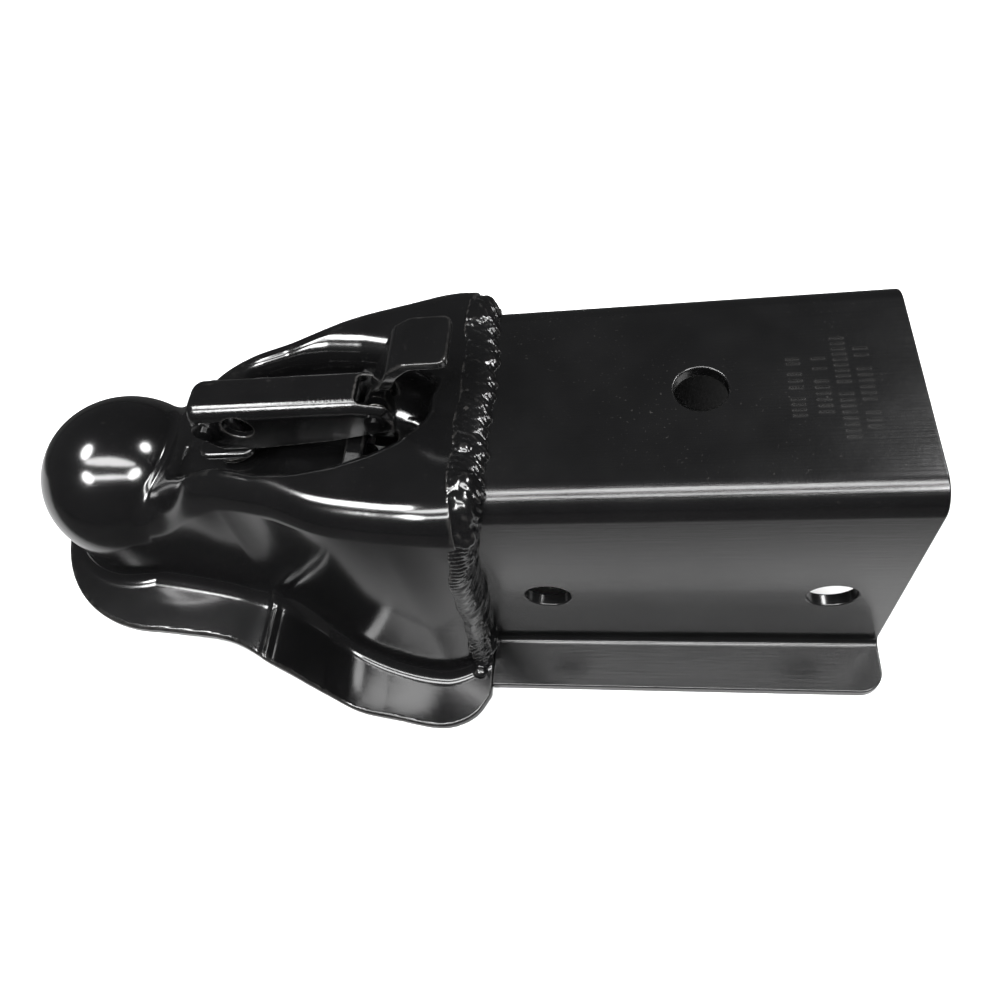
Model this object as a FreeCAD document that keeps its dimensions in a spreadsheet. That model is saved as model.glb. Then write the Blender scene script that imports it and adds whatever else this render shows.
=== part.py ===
import FreeCAD, Part

# A straight-tongue trailer ball coupler: a pressed socket head welded to a folded tongue channel,
# with a lever latch, a finger trigger and a ball clamp inside. Millimetres.
# The origin is the centre of the ball socket, +X points rearward to the trailer and +Z up.

import math
import os
from collections import namedtuple

import Sketcher

Vector = FreeCAD.Vector

SIZES = (
    ("plate", 4.76, "plate of the head and the channel"),
    ("ball_radius", 29.37, "radius of the 2-5/16 inch hitch ball"),
    ("ball_gap", 0.43, "room between ball and socket"),
    ("tongue_width", 77.8, "inside width of the channel, for a 3 inch tongue"),
    ("channel_front", 154.0, "front end of the channel's top, where it is welded to the head"),
    ("channel_toe", 147.0, "front end of the channel's sides at the lips"),
    ("channel_rear", 300.0, "rear end of the channel"),
    ("top_height", 44.0, "outside of the channel's top above the ball centre"),
    ("fold_radius", 10.0, "outside radius of the two long folds"),
    ("lip_half_width", 64.5, "outer edge of the channel's foot lips"),
    ("base_height", -72.0, "underside of the lips"),
    ("lip_corner", 9.0, "rounding of the lips' rear corners"),
    ("bolt_radius", 8.73, "11/16 inch bolt holes"),
    ("bolt_front", 175.4, "front cross bolt behind the ball centre"),
    ("bolt_spacing", 101.6, "from cross bolt to cross bolt"),
    ("bolt_height", -24.0, "cross bolts below the ball centre"),
    ("top_bolt", 232.4, "top bolt hole behind the ball centre"),
    ("skirt_height", -26.0, "underside of the collar round the socket"),
    ("collar_place", 15.0, "centre of the round collar behind the ball centre"),
    ("collar_radius", 58.0, "radius of the round collar"),
    ("trough_floor", 20.0, "floor of the latch trough"),
    ("stud_place", 59.0, "latch stud behind the ball centre"),
    ("pivot_height", 44.5, "lever pivot above the ball centre"),
    ("pivot_pin_radius", 2.75, "lever pivot pin"),
    ("stud_radius", 5.0, "shank of the latch stud"),
    ("eye_radius", 5.3, "eye of the latch stud"),
    ("eye_half_width", 5.9, "half thickness of the eye"),
    ("running_gap", 0.06, "room round a turning pin"),
    ("lever_half_width", 9.0, "outside half width of the lever"),
    ("lever_wall", 2.8, "thickness of the lever's stamping"),
    ("lever_top", 54.0, "top of the lever"),
    ("lever_bottom", 31.7, "lower edge of the lever's cheeks at the cam"),
    ("lever_nose", 51.0, "front of the lever"),
    ("lever_roof_end", 117.0, "rear end of the lever's roof"),
    ("lever_cheek_end", 129.0, "rear end of the lever's cheeks"),
    ("lock_hole_place", 71.5, "padlock hole behind the ball centre"),
    ("lock_hole_height", 45.0, "padlock hole above the ball centre"),
    ("lock_hole_radius", 5.6, "padlock hole"),
    ("trigger_place", 123.0, "trigger pin behind the ball centre"),
    ("trigger_height", 46.0, "trigger pin above the ball centre"),
    ("trigger_pin_radius", 1.9, "trigger pin"),
    ("trigger_half_width", 10.0, "half width of the finger tab"),
    ("trigger_stem_half", 2.9, "half width of the trigger between the spring coils"),
    ("saddle_top", 31.2, "top of the cam saddle"),
    ("saddle_plate", 3.0, "thickness of the cam saddle"),
    ("strap_front", 107.0, "front edge of the trigger's keeper"),
    ("strap_rear", 114.0, "rear edge of the trigger's keeper"),
    ("fulcrum_place", 98.0, "clamp fulcrum behind the ball centre"),
    ("fulcrum_height", -6.0, "clamp fulcrum above the ball centre"),
    ("fulcrum_radius", 4.0, "clamp fulcrum pin"),
    ("fulcrum_half_length", 46.5, "half length of the pin, seated in the head's sides"),
    ("clamp_half_width", 14.0, "half width of the ball clamp"),
    ("clamp_bottom", -26.0, "underside of the ball clamp at the stud"),
    ("nut_across_flats", 17.0, "lock nut"),
)

Station = namedtuple("Station", "x crown_half crown shoulder_half shoulder wall_half foot_half foot")


class Size:
    """A length with its worth and the text that binds it to the sheet."""

    def __init__(self, worth, text):
        self.worth = worth
        self.text = text

    def _join(self, other, worth, sign):
        return Size(worth, f"({self.text} {sign} {as_size(other).text})")

    def __add__(self, other):
        return self._join(other, self.worth + as_size(other).worth, "+")

    def __sub__(self, other):
        return self._join(other, self.worth - as_size(other).worth, "-")

    def __mul__(self, other):
        return self._join(other, self.worth * as_size(other).worth, "*")

    def __truediv__(self, other):
        return self._join(other, self.worth / as_size(other).worth, "/")

    def __neg__(self):
        return Size(-self.worth, f"(0 - {self.text})")


def as_size(value):
    return value if isinstance(value, Size) else Size(float(value), repr(float(value)))


def make_sheet(doc):
    """Fills the sheet and returns its sizes by name."""
    sheet = doc.addObject("Spreadsheet::Sheet", "sizes")
    sizes = {}
    for row, (name, worth, note) in enumerate(SIZES, start=1):
        sheet.set(f"A{row}", note)
        sheet.set(f"B{row}", str(worth))
        sheet.setAlias(f"B{row}", name)
        sizes[name] = Size(worth, f"sizes.{name}")
    doc.recompute()
    return sizes


def bind(thing, prop, size):
    """Sets a property and ties it to the sheet."""
    thing.setExpression(prop, as_size(size).text)


# ---------------------------------------------------------------- sketches and features

def new_body(doc, label):
    body = doc.addObject("PartDesign::Body", label)
    body.Label = label
    return body


def sketch_on(body, role, name, offset=0.0):
    """A sketch on one of the body's own origin planes, lifted along its normal."""
    sketch = body.newObject("Sketcher::SketchObject", name)
    plane = next(item for item in body.Origin.OriginFeatures if item.Role == role)
    sketch.AttachmentSupport = [(plane, "")]
    sketch.MapMode = "FlatFace"
    bind(sketch, "AttachmentOffset.Base.z", offset)
    return sketch


def pin_point(sketch, index, position, place):
    """Fixes one point of the sketch at a place bound to the sheet."""
    for kind, size in zip(("DistanceX", "DistanceY"), place):
        size = as_size(size)
        number = sketch.addConstraint(Sketcher.Constraint(kind, -1, 1, index, position, size.worth))
        sketch.setExpression(f"Constraints[{number}]", size.text)


def outline(sketch, corners):
    """A closed outline of straight edges."""
    flat = [Vector(as_size(u).worth, as_size(v).worth, 0) for u, v in corners]
    first = len(sketch.Geometry)
    for index, point in enumerate(flat):
        sketch.addGeometry(Part.LineSegment(point, flat[(index + 1) % len(flat)]), False)
    for index in range(len(flat)):
        after = first + (index + 1) % len(flat)
        sketch.addConstraint(Sketcher.Constraint("Coincident", first + index, 2, after, 1))
    for index, corner in enumerate(corners):
        pin_point(sketch, first + index, 1, corner)


def ring(sketch, centre, radius):
    """A circle."""
    size = as_size(radius)
    middle = Vector(as_size(centre[0]).worth, as_size(centre[1]).worth, 0)
    index = sketch.addGeometry(Part.Circle(middle, Vector(0, 0, 1), size.worth), False)
    pin_point(sketch, index, 3, centre)
    number = sketch.addConstraint(Sketcher.Constraint("Radius", index, size.worth))
    sketch.setExpression(f"Constraints[{number}]", size.text)


def pad(body, sketch, name, length, both_ways=False, reverse=False):
    feature = body.newObject("PartDesign::Pad", name)
    feature.Profile = sketch
    bind(feature, "Length", length)
    feature.Midplane = both_ways
    feature.Reversed = reverse
    body.Document.recompute()
    return feature


def pocket(body, sketch, name, length, both_ways=False, reverse=False):
    """Cuts the sketch out of the body and makes sure that something went."""
    before = body.Shape.Volume
    feature = body.newObject("PartDesign::Pocket", name)
    feature.Profile = sketch
    bind(feature, "Length", length)
    feature.Midplane = both_ways
    feature.Reversed = reverse
    body.Document.recompute()
    if body.Shape.Volume >= before - 0.01:
        raise RuntimeError(f"{name} cuts nothing")
    return feature


def soften(body, name, radius, chosen, kind="PartDesign::Fillet"):
    """Rounds or bevels the edges that the test chooses."""
    base = body.Tip
    edges = [f"Edge{n}" for n, edge in enumerate(base.Shape.Edges, start=1) if chosen(edge)]
    if not edges:
        raise RuntimeError(f"{name} finds no edge")
    feature = body.newObject(kind, name)
    feature.Base = (base, edges)
    if kind == "PartDesign::Fillet":
        bind(feature, "Radius", radius)
    else:
        bind(feature, "Size", radius)
    body.Document.recompute()
    return feature


def runs_along(edge, direction):
    """True for a straight edge in this direction."""
    if edge.Curve.TypeId != "Part::GeomLine":
        return False
    return abs(edge.tangentAt(edge.FirstParameter).dot(direction)) > 0.999


def near(value, wanted, room=0.05):
    return abs(value - wanted) < room


def cylinder(doc, label, radius, length, place, direction):
    """A Part cylinder, centred on its place."""
    pin = doc.addObject("Part::Cylinder", label)
    pin.Label = label
    bind(pin, "Radius", radius)
    bind(pin, "Height", length)
    turn = FreeCAD.Rotation(Vector(0, 0, 1), direction)
    back = direction * (-as_size(length).worth / 2)
    pin.Placement = FreeCAD.Placement(place + back, turn)
    return pin


def hide_tool(doc, kind, name, base, tool):
    """A Part boolean of two objects."""
    result = doc.addObject(kind, name)
    result.Base = base
    result.Tool = tool
    return result


def washer(doc, label, outer, inner, length, place, direction):
    """A flat ring, centred on its place."""
    disc = cylinder(doc, f"{label}_disc", outer, length, place, direction)
    hole = cylinder(doc, f"{label}_hole", inner, as_size(length) + 2, place, direction)
    result = hide_tool(doc, "Part::Cut", label, disc, hole)
    result.Label = label
    return result


def feature_of(doc, label, shape):
    """A Part::Feature that holds a shape made with Part's own functions."""
    item = doc.addObject("Part::Feature", label)
    item.Label = label
    item.Shape = shape
    item.Placement = FreeCAD.Placement()
    return item


# ---------------------------------------------------------------- socket head

def head_stations(z):
    """The head's cross-sections from the socket back to the weld, outside of the plate."""
    top = z["top_height"].worth
    base = z["base_height"].worth
    skirt = z["skirt_height"].worth
    fold = z["fold_radius"].worth
    collar = z["collar_radius"].worth
    end = z["channel_front"].worth + 2
    return (
        Station(0, 12, 14, 27, 4, 33, collar - 2, skirt),
        Station(28, 16, 21, 29, 9, 37, collar + 1, skirt),
        Station(50, 21, 37, 30, 25, 41, collar + 4.5, skirt),
        Station(64, 23, top - 1, 32, 32, 45, 69, skirt - 3),
        Station(82, 27, top, 37, top - fold, 50, 75, skirt - 28),
        Station(104, 35, top + 1, 45, top - fold + 1, 57, 80, base + 5),
        Station(128, 39, top + 2.4, 50, top - fold + 2, 61, 82, base),
        Station(140, 40, top + 3.5, 52, top - fold + 3, 58, 77, base),
        Station(147, 41, top + 4, 53, top - fold + 4, 53, 69, base),
        Station(end, 41, top + 4, 53, top - fold + 4, 48.5, z["lip_half_width"].worth, base),
    )


def mirrored_wire(x, half_points):
    """A closed wire across the head from the points of its right half, top to bottom."""
    right = [Vector(x, y, height) for y, height in half_points]
    left = [Vector(x, -y, height) for y, height in reversed(half_points)]
    corners = right + left
    return Part.makePolygon(corners + corners[:1])


def outer_section(station, plate):
    """The filled outside of one cross-section, with its foot."""
    points = (
        (station.crown_half, station.crown),
        (station.shoulder_half, station.shoulder),
        (station.wall_half, station.foot + plate),
        (station.foot_half, station.foot + plate),
        (station.foot_half, station.foot),
    )
    return mirrored_wire(station.x, points)


def inner_section(station, plate, depth):
    """The hollow of one cross-section, run out below the foot."""
    points = (
        (station.crown_half - plate / 2, station.crown - plate),
        (station.shoulder_half - plate, station.shoulder - plate / 2),
        (station.wall_half - plate, station.foot + plate),
        (station.wall_half - plate, depth),
    )
    return mirrored_wire(station.x, points)


def leaf_wire(z, grow, height):
    """The leaf-shaped mouth of the latch trough, wide round the stud and narrow to the rear."""
    half_widths = ((34, 13), (48, 18), (62, 24), (78, 25), (98, 22), (114, 19), (128, 15), (137, 8))
    right = [Vector(x, half, height) for x, half in half_widths]
    left = [Vector(x, -half, height) for x, half in reversed(half_widths)]
    wire = Part.makePolygon(right + left + right[:1])
    if grow:
        wire = Part.Face(wire).makeOffset2D(grow, join=2).OuterWire
    return wire


def prism(wire, rise):
    return Part.Face(wire).extrude(Vector(0, 0, rise))


def behind_seam(z):
    """The space behind the seam, which leans forward below the folds."""
    front = z["channel_front"].worth
    corner = z["top_height"].worth - z["fold_radius"].worth
    low = z["base_height"].worth - 10
    slope = (front - z["channel_toe"].worth) / (corner - z["base_height"].worth)
    toe = front - slope * (corner - low)
    reach = 100
    corners = ((front, corner + reach), (front, corner), (toe, low), (front + reach, low),
               (front + reach, corner + reach))
    points = [Vector(x, -reach, height) for x, height in corners]
    return Part.Face(Part.makePolygon(points + points[:1])).extrude(Vector(0, 2 * reach, 0))


def make_socket_head(doc, z):
    """The pressed head: domed socket, neck, latch trough, widening box and foot."""
    plate = z["plate"].worth
    inside = z["ball_radius"].worth + z["ball_gap"].worth
    outside = inside + plate
    skirt = z["skirt_height"].worth
    base = z["base_height"].worth
    floor = z["trough_floor"].worth
    top = z["top_height"].worth
    stations = head_stations(z)

    dome = Part.makeSphere(outside).fuse(Part.makeCylinder(outside, -skirt, Vector(0, 0, skirt)))
    below = Part.makeBox(120, 120, 60, Vector(-60, -60, skirt - 60))
    dome = dome.cut(below)
    collar = Part.makeCylinder(z["collar_radius"].worth, plate,
                               Vector(z["collar_place"].worth, 0, skirt))
    body = Part.makeLoft([outer_section(s, plate) for s in stations], True, True)
    solid = dome.fuse([collar, body])

    rear = stations[-1]._replace(x=stations[-1].x + 5)
    hollow_stations = stations + (rear,)
    hollow = Part.makeLoft([inner_section(s, plate, base - 10) for s in hollow_stations], True, True)
    socket = Part.makeSphere(inside).fuse(Part.makeCylinder(inside, 60, Vector(0, 0, -60)))

    deep = top - floor + plate
    trough_walls = prism(leaf_wire(z, plate, floor - plate), deep).common(body)
    shell = solid.cut(hollow).fuse(trough_walls)
    shell = shell.cut([prism(leaf_wire(z, 0, floor), 60), socket])

    stud_hole = Part.makeCylinder(z["stud_radius"].worth + 0.6, 30,
                                  Vector(z["stud_place"].worth, 0, floor - 20))
    drain_start = 92
    drain_end = 128
    drain_half = 9
    drain = Part.makeBox(drain_end - drain_start, 2 * drain_half, 20,
                         Vector(drain_start, -drain_half, floor - 15))
    seat = Part.makeCylinder(z["fulcrum_radius"].worth, 2 * z["fulcrum_half_length"].worth,
                             Vector(z["fulcrum_place"].worth, -z["fulcrum_half_length"].worth,
                                    z["fulcrum_height"].worth), Vector(0, 1, 0))
    shell = shell.cut([stud_hole, drain, seat, behind_seam(z)]).removeSplitter()
    return feature_of(doc, "socket_head", shell.Solids[0] if len(shell.Solids) == 1 else shell)


# ---------------------------------------------------------------- tongue channel and its weld

def make_tongue_channel(doc, z):
    """The folded channel that the trailer's tongue slides into."""
    half = z["tongue_width"] / 2 + z["plate"]
    body = new_body(doc, "tongue_channel")
    section = sketch_on(body, "YZ_Plane", "channel_section", z["channel_toe"])
    plate = z["plate"]
    inner = half - plate
    base = z["base_height"]
    top = z["top_height"]
    lip = z["lip_half_width"]
    outline(section, (
        (half, top), (half, base + plate), (lip, base + plate), (lip, base), (inner, base),
        (inner, top - plate), (-inner, top - plate), (-inner, base), (-lip, base),
        (-lip, base + plate), (-half, base + plate), (-half, top),
    ))
    pad(body, section, "channel_length", z["channel_rear"] - z["channel_toe"])
    along = Vector(1, 0, 0)
    top_z = z["top_height"].worth
    base_z = z["base_height"].worth
    plate_t = z["plate"].worth
    half_w = half.worth
    soften(body, "outer_folds", z["fold_radius"],
           lambda e: runs_along(e, along) and near(e.CenterOfMass.z, top_z))
    soften(body, "inner_folds", z["fold_radius"] - plate,
           lambda e: runs_along(e, along) and near(e.CenterOfMass.z, top_z - plate_t))
    soften(body, "lip_inner_bend", plate * 1.5,
           lambda e: runs_along(e, along) and near(e.CenterOfMass.z, base_z)
           and near(abs(e.CenterOfMass.y), half_w - plate_t))
    soften(body, "lip_outer_bend", plate * 0.7,
           lambda e: runs_along(e, along) and near(e.CenterOfMass.z, base_z + plate_t)
           and near(abs(e.CenterOfMass.y), half_w))
    rear_x = z["channel_rear"].worth
    lip_y = z["lip_half_width"].worth
    soften(body, "lip_rear_corners", z["lip_corner"],
           lambda e: runs_along(e, Vector(0, 0, 1)) and near(e.CenterOfMass.x, rear_x)
           and near(abs(e.CenterOfMass.y), lip_y))

    bolts = sketch_on(body, "XZ_Plane", "cross_bolt_circles")
    ring(bolts, (z["bolt_front"], z["bolt_height"]), z["bolt_radius"])
    ring(bolts, (z["bolt_front"] + z["bolt_spacing"], z["bolt_height"]), z["bolt_radius"])
    pocket(body, bolts, "cross_bolt_holes", half * 3, both_ways=True)
    toe = z["channel_toe"]
    nose = sketch_on(body, "XZ_Plane", "seam_slope")
    outline(nose, ((toe - 5, top + 5), (z["channel_front"], top + 5), (z["channel_front"], top - z["fold_radius"]),
                   (toe, base), (toe - 5, base)))
    pocket(body, nose, "seam_slope_cut", half * 4, both_ways=True)
    top_circle = sketch_on(body, "XY_Plane", "top_bolt_circle", 0.0)
    ring(top_circle, (z["top_bolt"], 0.0), z["bolt_radius"])
    pocket(body, top_circle, "top_bolt_hole", z["top_height"] * 2, reverse=True)
    return body


def make_weld_beads(doc, z, head, channel):
    """Three weld runs over the seam: along the top and down each side, split at the folds."""
    half = z["tongue_width"].worth / 2 + z["plate"].worth
    top = z["top_height"].worth
    fold = z["fold_radius"].worth
    seam = z["channel_front"].worth + 1.5
    radius = 6.4
    sunk = 1.2
    low = z["base_height"].worth + 9
    slope = (z["channel_front"].worth - z["channel_toe"].worth) / (top - fold - z["base_height"].worth)
    toe = seam - slope * (top - fold - low)
    side = half - sunk
    crown = top - sunk
    bend = fold - sunk
    corner = math.sqrt(0.5) * bend
    edges = [
        Part.LineSegment(Vector(toe, -side, low), Vector(seam, -side, crown - bend)),
        Part.Arc(Vector(seam, -side, crown - bend),
                 Vector(seam, -side + bend - corner, crown - bend + corner),
                 Vector(seam, -side + bend, crown)),
        Part.LineSegment(Vector(seam, -side + bend, crown), Vector(seam, side - bend, crown)),
        Part.Arc(Vector(seam, side - bend, crown),
                 Vector(seam, side - bend + corner, crown - bend + corner),
                 Vector(seam, side, crown - bend)),
        Part.LineSegment(Vector(seam, side, crown - bend), Vector(toe, side, low)),
    ]
    path = Part.Wire([edge.toShape() for edge in edges])
    start = Part.Wire(Part.Circle(Vector(toe, -side, low), Vector(0, 0, 1), radius).toShape())
    rope = path.makePipeShell([start], True, False)
    bore = Part.makeBox(80, 2 * (half - 2), 200, Vector(seam - 45, -half + 2, top - 202))
    rope = rope.cut([bore]).cut(head.Shape).cut(channel.Shape)
    split = half - fold
    reach = 60
    front = seam - 40
    boxes = {
        "weld_bead_top": Part.makeBox(reach, 2 * split, reach, Vector(front, -split, top - 20)),
        "weld_bead_left": Part.makeBox(reach, reach, 200, Vector(front, -split - reach, -130)),
        "weld_bead_right": Part.makeBox(reach, reach, 200, Vector(front, split, -130)),
    }
    beads = []
    for label, box in boxes.items():
        run = rope.common(box)
        biggest = max(run.Solids, key=lambda solid: solid.Volume)
        beads.append(feature_of(doc, label, biggest))
    return beads


# ---------------------------------------------------------------- latch lever and stud

def make_latch_lever(doc, z):
    """The lever: an upturned channel with a round nose, a cam under it and cheeks for the trigger."""
    body = new_body(doc, "latch_lever")
    side = sketch_on(body, "XZ_Plane", "lever_side")
    nose = z["lever_nose"]
    roof = z["lever_top"]
    bottom = z["lever_bottom"]
    pivot = z["stud_place"]
    rear = z["lever_cheek_end"]
    outline(side, (
        (nose, roof), (z["lever_roof_end"], roof), (rear, roof - 3), (rear, bottom + 8),
        (pivot + 45, bottom + 3), (pivot + 16, bottom), (pivot + 1, bottom), (nose, bottom + 9),
    ))
    pad(body, side, "lever_blank", z["lever_half_width"] * 2, both_ways=True)
    across = Vector(0, 1, 0)
    nose_x = z["lever_nose"].worth
    roof_z = z["lever_top"].worth
    soften(body, "nose_round", 7.5,
           lambda e: runs_along(e, across) and near(e.CenterOfMass.x, nose_x)
           and near(e.CenterOfMass.z, roof_z))
    rear_x = z["lever_cheek_end"].worth
    soften(body, "cheek_round", 4.0,
           lambda e: runs_along(e, across) and near(e.CenterOfMass.x, rear_x))
    soften(body, "roof_round", 2.2,
           lambda e: near(abs(e.CenterOfMass.y), 9.0) and near(e.CenterOfMass.z, roof_z)
           and runs_along(e, Vector(1, 0, 0)))
    wall = z["lever_wall"]
    hollow = sketch_on(body, "XZ_Plane", "lever_hollow")
    inside = roof - wall
    mouth = roof - 4.8
    outline(hollow, (
        (nose - 5, mouth), (nose + 3.6, mouth), (nose + 5.5, inside), (z["lever_roof_end"] + 0.1, inside),
        (z["lever_roof_end"] + 0.1, roof + 2), (rear + 5, roof + 2), (rear + 5, bottom - 5),
        (nose - 5, bottom - 5),
    ))
    gap = (z["lever_half_width"] - wall) * 2
    pocket(body, hollow, "lever_hollow_cut", gap, both_ways=True)
    holes = sketch_on(body, "XZ_Plane", "lever_holes")
    ring(holes, (pivot, z["pivot_height"]), z["pivot_pin_radius"])
    ring(holes, (z["lock_hole_place"], z["lock_hole_height"]), z["lock_hole_radius"])
    ring(holes, (z["trigger_place"], z["trigger_height"]), z["trigger_pin_radius"])
    pocket(body, holes, "lever_hole_cuts", z["lever_half_width"] * 4, both_ways=True)
    return body


def make_latch_stud(doc, z):
    """The eye bolt that hangs from the lever's pivot and carries the clamp."""
    place = z["stud_place"].worth
    height = z["pivot_height"].worth
    low = -44.0
    across = Vector(0, 1, 0)
    up = Vector(0, 0, 1)
    eye = cylinder(doc, "stud_eye", z["eye_radius"], z["eye_half_width"] * 2,
                   Vector(place, 0, height), across)
    shank_length = height - low
    shank = cylinder(doc, "stud_shank", z["stud_radius"], shank_length,
                     Vector(place, 0, (height + low) / 2), up)
    whole = hide_tool(doc, "Part::Fuse", "stud_blank", eye, shank)
    hole = cylinder(doc, "stud_eye_hole", z["pivot_pin_radius"] + z["running_gap"], 30.0,
                    Vector(place, 0, height), across)
    stud = hide_tool(doc, "Part::Cut", "latch_stud", whole, hole)
    stud.Label = "latch_stud"
    return stud


def make_pins_and_clips(doc, z):
    """The lever's and the trigger's pins, each with a push nut on both ends."""
    across = Vector(0, 1, 0)
    made = []
    cheeks = z["lever_half_width"].worth
    table = (
        ("lever_pivot_pin", "pivot_pin_clips", "pivot_pin_radius",
         Vector(z["stud_place"].worth, 0, z["pivot_height"].worth), 2.4, 4.9, 1.2),
        ("trigger_pin", "trigger_pin_clips", "trigger_pin_radius",
         Vector(z["trigger_place"].worth, 0, z["trigger_height"].worth), 1.8, 3.7, 0.9),
    )
    for pin_label, clip_label, radius, place, over, clip_radius, thick in table:
        made.append(cylinder(doc, pin_label, z[radius], (cheeks + over) * 2, place, across))
        rings = []
        for side in (-1, 1):
            middle = place + across * (side * (cheeks + 0.05 + thick / 2))
            rings.append(washer(doc, f"{clip_label}_{'left' if side < 0 else 'right'}", clip_radius,
                                z[radius], thick, middle, across))
        pair = doc.addObject("Part::Compound", clip_label)
        pair.Label = clip_label
        pair.Links = rings
        made.append(pair)
    return made


def coil(centre, radius, wire_radius, pitch, turns, axis):
    """A round-wire coil along an axis, its middle at the centre."""
    length = pitch * turns
    helix = Part.makeHelix(pitch, length, radius)
    section = Part.Wire(Part.Circle(Vector(radius, 0, 0), Vector(0, 1, 0), wire_radius).toShape())
    solid = Part.Wire(helix.Edges).makePipeShell([section], True, True)
    start = centre - axis * (length / 2)
    placement = FreeCAD.Placement(start, FreeCAD.Rotation(Vector(0, 0, 1), axis))
    return solid.transformGeometry(placement.toMatrix())


def make_springs(doc, z):
    """The stud's compression spring and the trigger's pair of torsion coils."""
    floor = z["trough_floor"].worth
    under_saddle = z["saddle_top"].worth - z["saddle_plate"].worth
    wire = 1.25
    turns = 2.5
    room = under_saddle - floor - 2 * wire - 0.2
    middle = Vector(z["stud_place"].worth, 0, (under_saddle + floor) / 2)
    main = coil(middle, 7.8, wire, room / turns, turns, Vector(0, 0, 1))
    springs = [feature_of(doc, "stud_spring", main)]
    fine = 0.55
    offset = (z["trigger_stem_half"].worth + z["lever_half_width"].worth - z["lever_wall"].worth) / 2
    pair = []
    for side in (-1, 1):
        place = Vector(z["trigger_place"].worth, side * offset, z["trigger_height"].worth)
        pair.append(coil(place, 3.4, fine, 1.25, 1.5, Vector(0, 1, 0)))
    springs.append(feature_of(doc, "trigger_spring", Part.makeCompound(pair)))
    return springs


def make_cam_saddle(doc, z):
    """The plate on the spring that the lever's cam presses on."""
    body = new_body(doc, "cam_saddle")
    plan = sketch_on(body, "XY_Plane", "saddle_plan", z["saddle_top"] - z["saddle_plate"])
    middle = z["stud_place"]
    outline(plan, ((middle - 10, -11), (middle + 12, -11), (middle + 12, 11), (middle - 10, 11)))
    ring(plan, (middle, 0.0), z["stud_radius"] + 0.6)
    pad(body, plan, "saddle_plate_pad", z["saddle_plate"])
    soften(body, "saddle_corners", 4.0, lambda e: runs_along(e, Vector(0, 0, 1)) and
           abs(abs(e.CenterOfMass.y) - 11) < 0.05)
    return body


def make_keeper_strap(doc, z):
    """The cross strap that the trigger's hook catches on."""
    body = new_body(doc, "keeper_strap")
    plan = sketch_on(body, "XY_Plane", "strap_plan", 27.5)
    front = z["strap_front"]
    rear = z["strap_rear"]
    outline(plan, ((front, -20.3), (rear, -19.0), (rear, 19.0), (front, 20.3)))
    pad(body, plan, "strap_pad", 4.0)
    return body


def make_finger_trigger(doc, z):
    """The trigger: a hooked stem on its pin, and a strip that rises and curls to a finger tab."""
    body = new_body(doc, "finger_trigger")
    side = sketch_on(body, "XZ_Plane", "trigger_side")
    x = z["trigger_place"]
    h = z["trigger_height"]
    outline(side, (
        (x + 32.5, h + 30), (x + 18, h + 30), (x + 12, h + 26.5), (x - 1, h + 7.5), (x - 4.4, h + 2),
        (x - 4.4, h - 13.5), (x - 8.4, h - 15), (x - 8.4, h - 18.5), (x + 1, h - 18.5),
        (x + 4.4, h - 3), (x + 4.4, h + 6), (x + 15, h + 23.5), (x + 19.5, h + 27), (x + 32.5, h + 27),
    ))
    pad(body, side, "trigger_blank", z["trigger_half_width"] * 2, both_ways=True)
    soften(body, "trigger_bends", 4.5, lambda e: runs_along(e, Vector(0, 1, 0))
           and e.CenterOfMass.z > 68 and e.CenterOfMass.x < 143)
    for name, sign in (("left", -1), ("right", 1)):
        trim = sketch_on(body, "XZ_Plane", f"stem_trim_{name}",
                         (z["trigger_half_width"] + z["trigger_stem_half"]) * (sign * 0.5))
        outline(trim, ((x - 12, h - 25), (x + 12, h - 25), (x + 12, h + 8.6), (x - 12, h + 8.6)))
        pocket(body, trim, f"stem_side_{name}", z["trigger_half_width"] - z["trigger_stem_half"],
               both_ways=True)
    bore = sketch_on(body, "XZ_Plane", "trigger_bore")
    ring(bore, (x, h), z["trigger_pin_radius"] + z["running_gap"])
    pocket(body, bore, "trigger_bore_cut", 30.0, both_ways=True)
    soften(body, "tab_corners", 4.0, lambda e: runs_along(e, Vector(0, 0, 1))
           and e.CenterOfMass.x > 155)
    return body


# ---------------------------------------------------------------- ball clamp

def make_ball_clamp(doc, z):
    """The rocking jaw that holds the ball from behind and below."""
    side_body = new_body(doc, "clamp_blank")
    side = sketch_on(side_body, "XZ_Plane", "clamp_side")
    low = z["clamp_bottom"]
    fx = z["fulcrum_place"]
    fh = z["fulcrum_height"]
    outline(side, (
        (14.0, -19), (22, -12), (40, -9), (fx - 14, 0.0), (fx, fh + 8), (fx + 7, fh + 4),
        (fx + 7, fh - 6), (fx - 10, fh - 10), (z["stud_place"] + 13, low), (z["stud_place"] - 15, low),
        (24.0, low - 2), (14.0, low),
    ))
    pad(side_body, side, "clamp_pad", z["clamp_half_width"] * 2, both_ways=True)
    bore = sketch_on(side_body, "XZ_Plane", "clamp_bore")
    ring(bore, (fx, fh), z["fulcrum_radius"] + z["running_gap"])
    pocket(side_body, bore, "clamp_bore_cut", z["clamp_half_width"] * 3, both_ways=True)
    slot = sketch_on(side_body, "XY_Plane", "stud_slot", low - 10)
    middle = z["stud_place"]
    outline(slot, ((middle - 9, -5.8), (middle + 9, -5.8), (middle + 9, 5.8), (middle - 9, 5.8)))
    pocket(side_body, slot, "stud_slot_cut", 60.0, reverse=True)
    ball = doc.addObject("Part::Sphere", "ball_space")
    bind(ball, "Radius", z["ball_radius"] + 0.4)
    clamp = hide_tool(doc, "Part::Cut", "ball_clamp", side_body, ball)
    clamp.Label = "ball_clamp"
    return clamp


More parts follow.
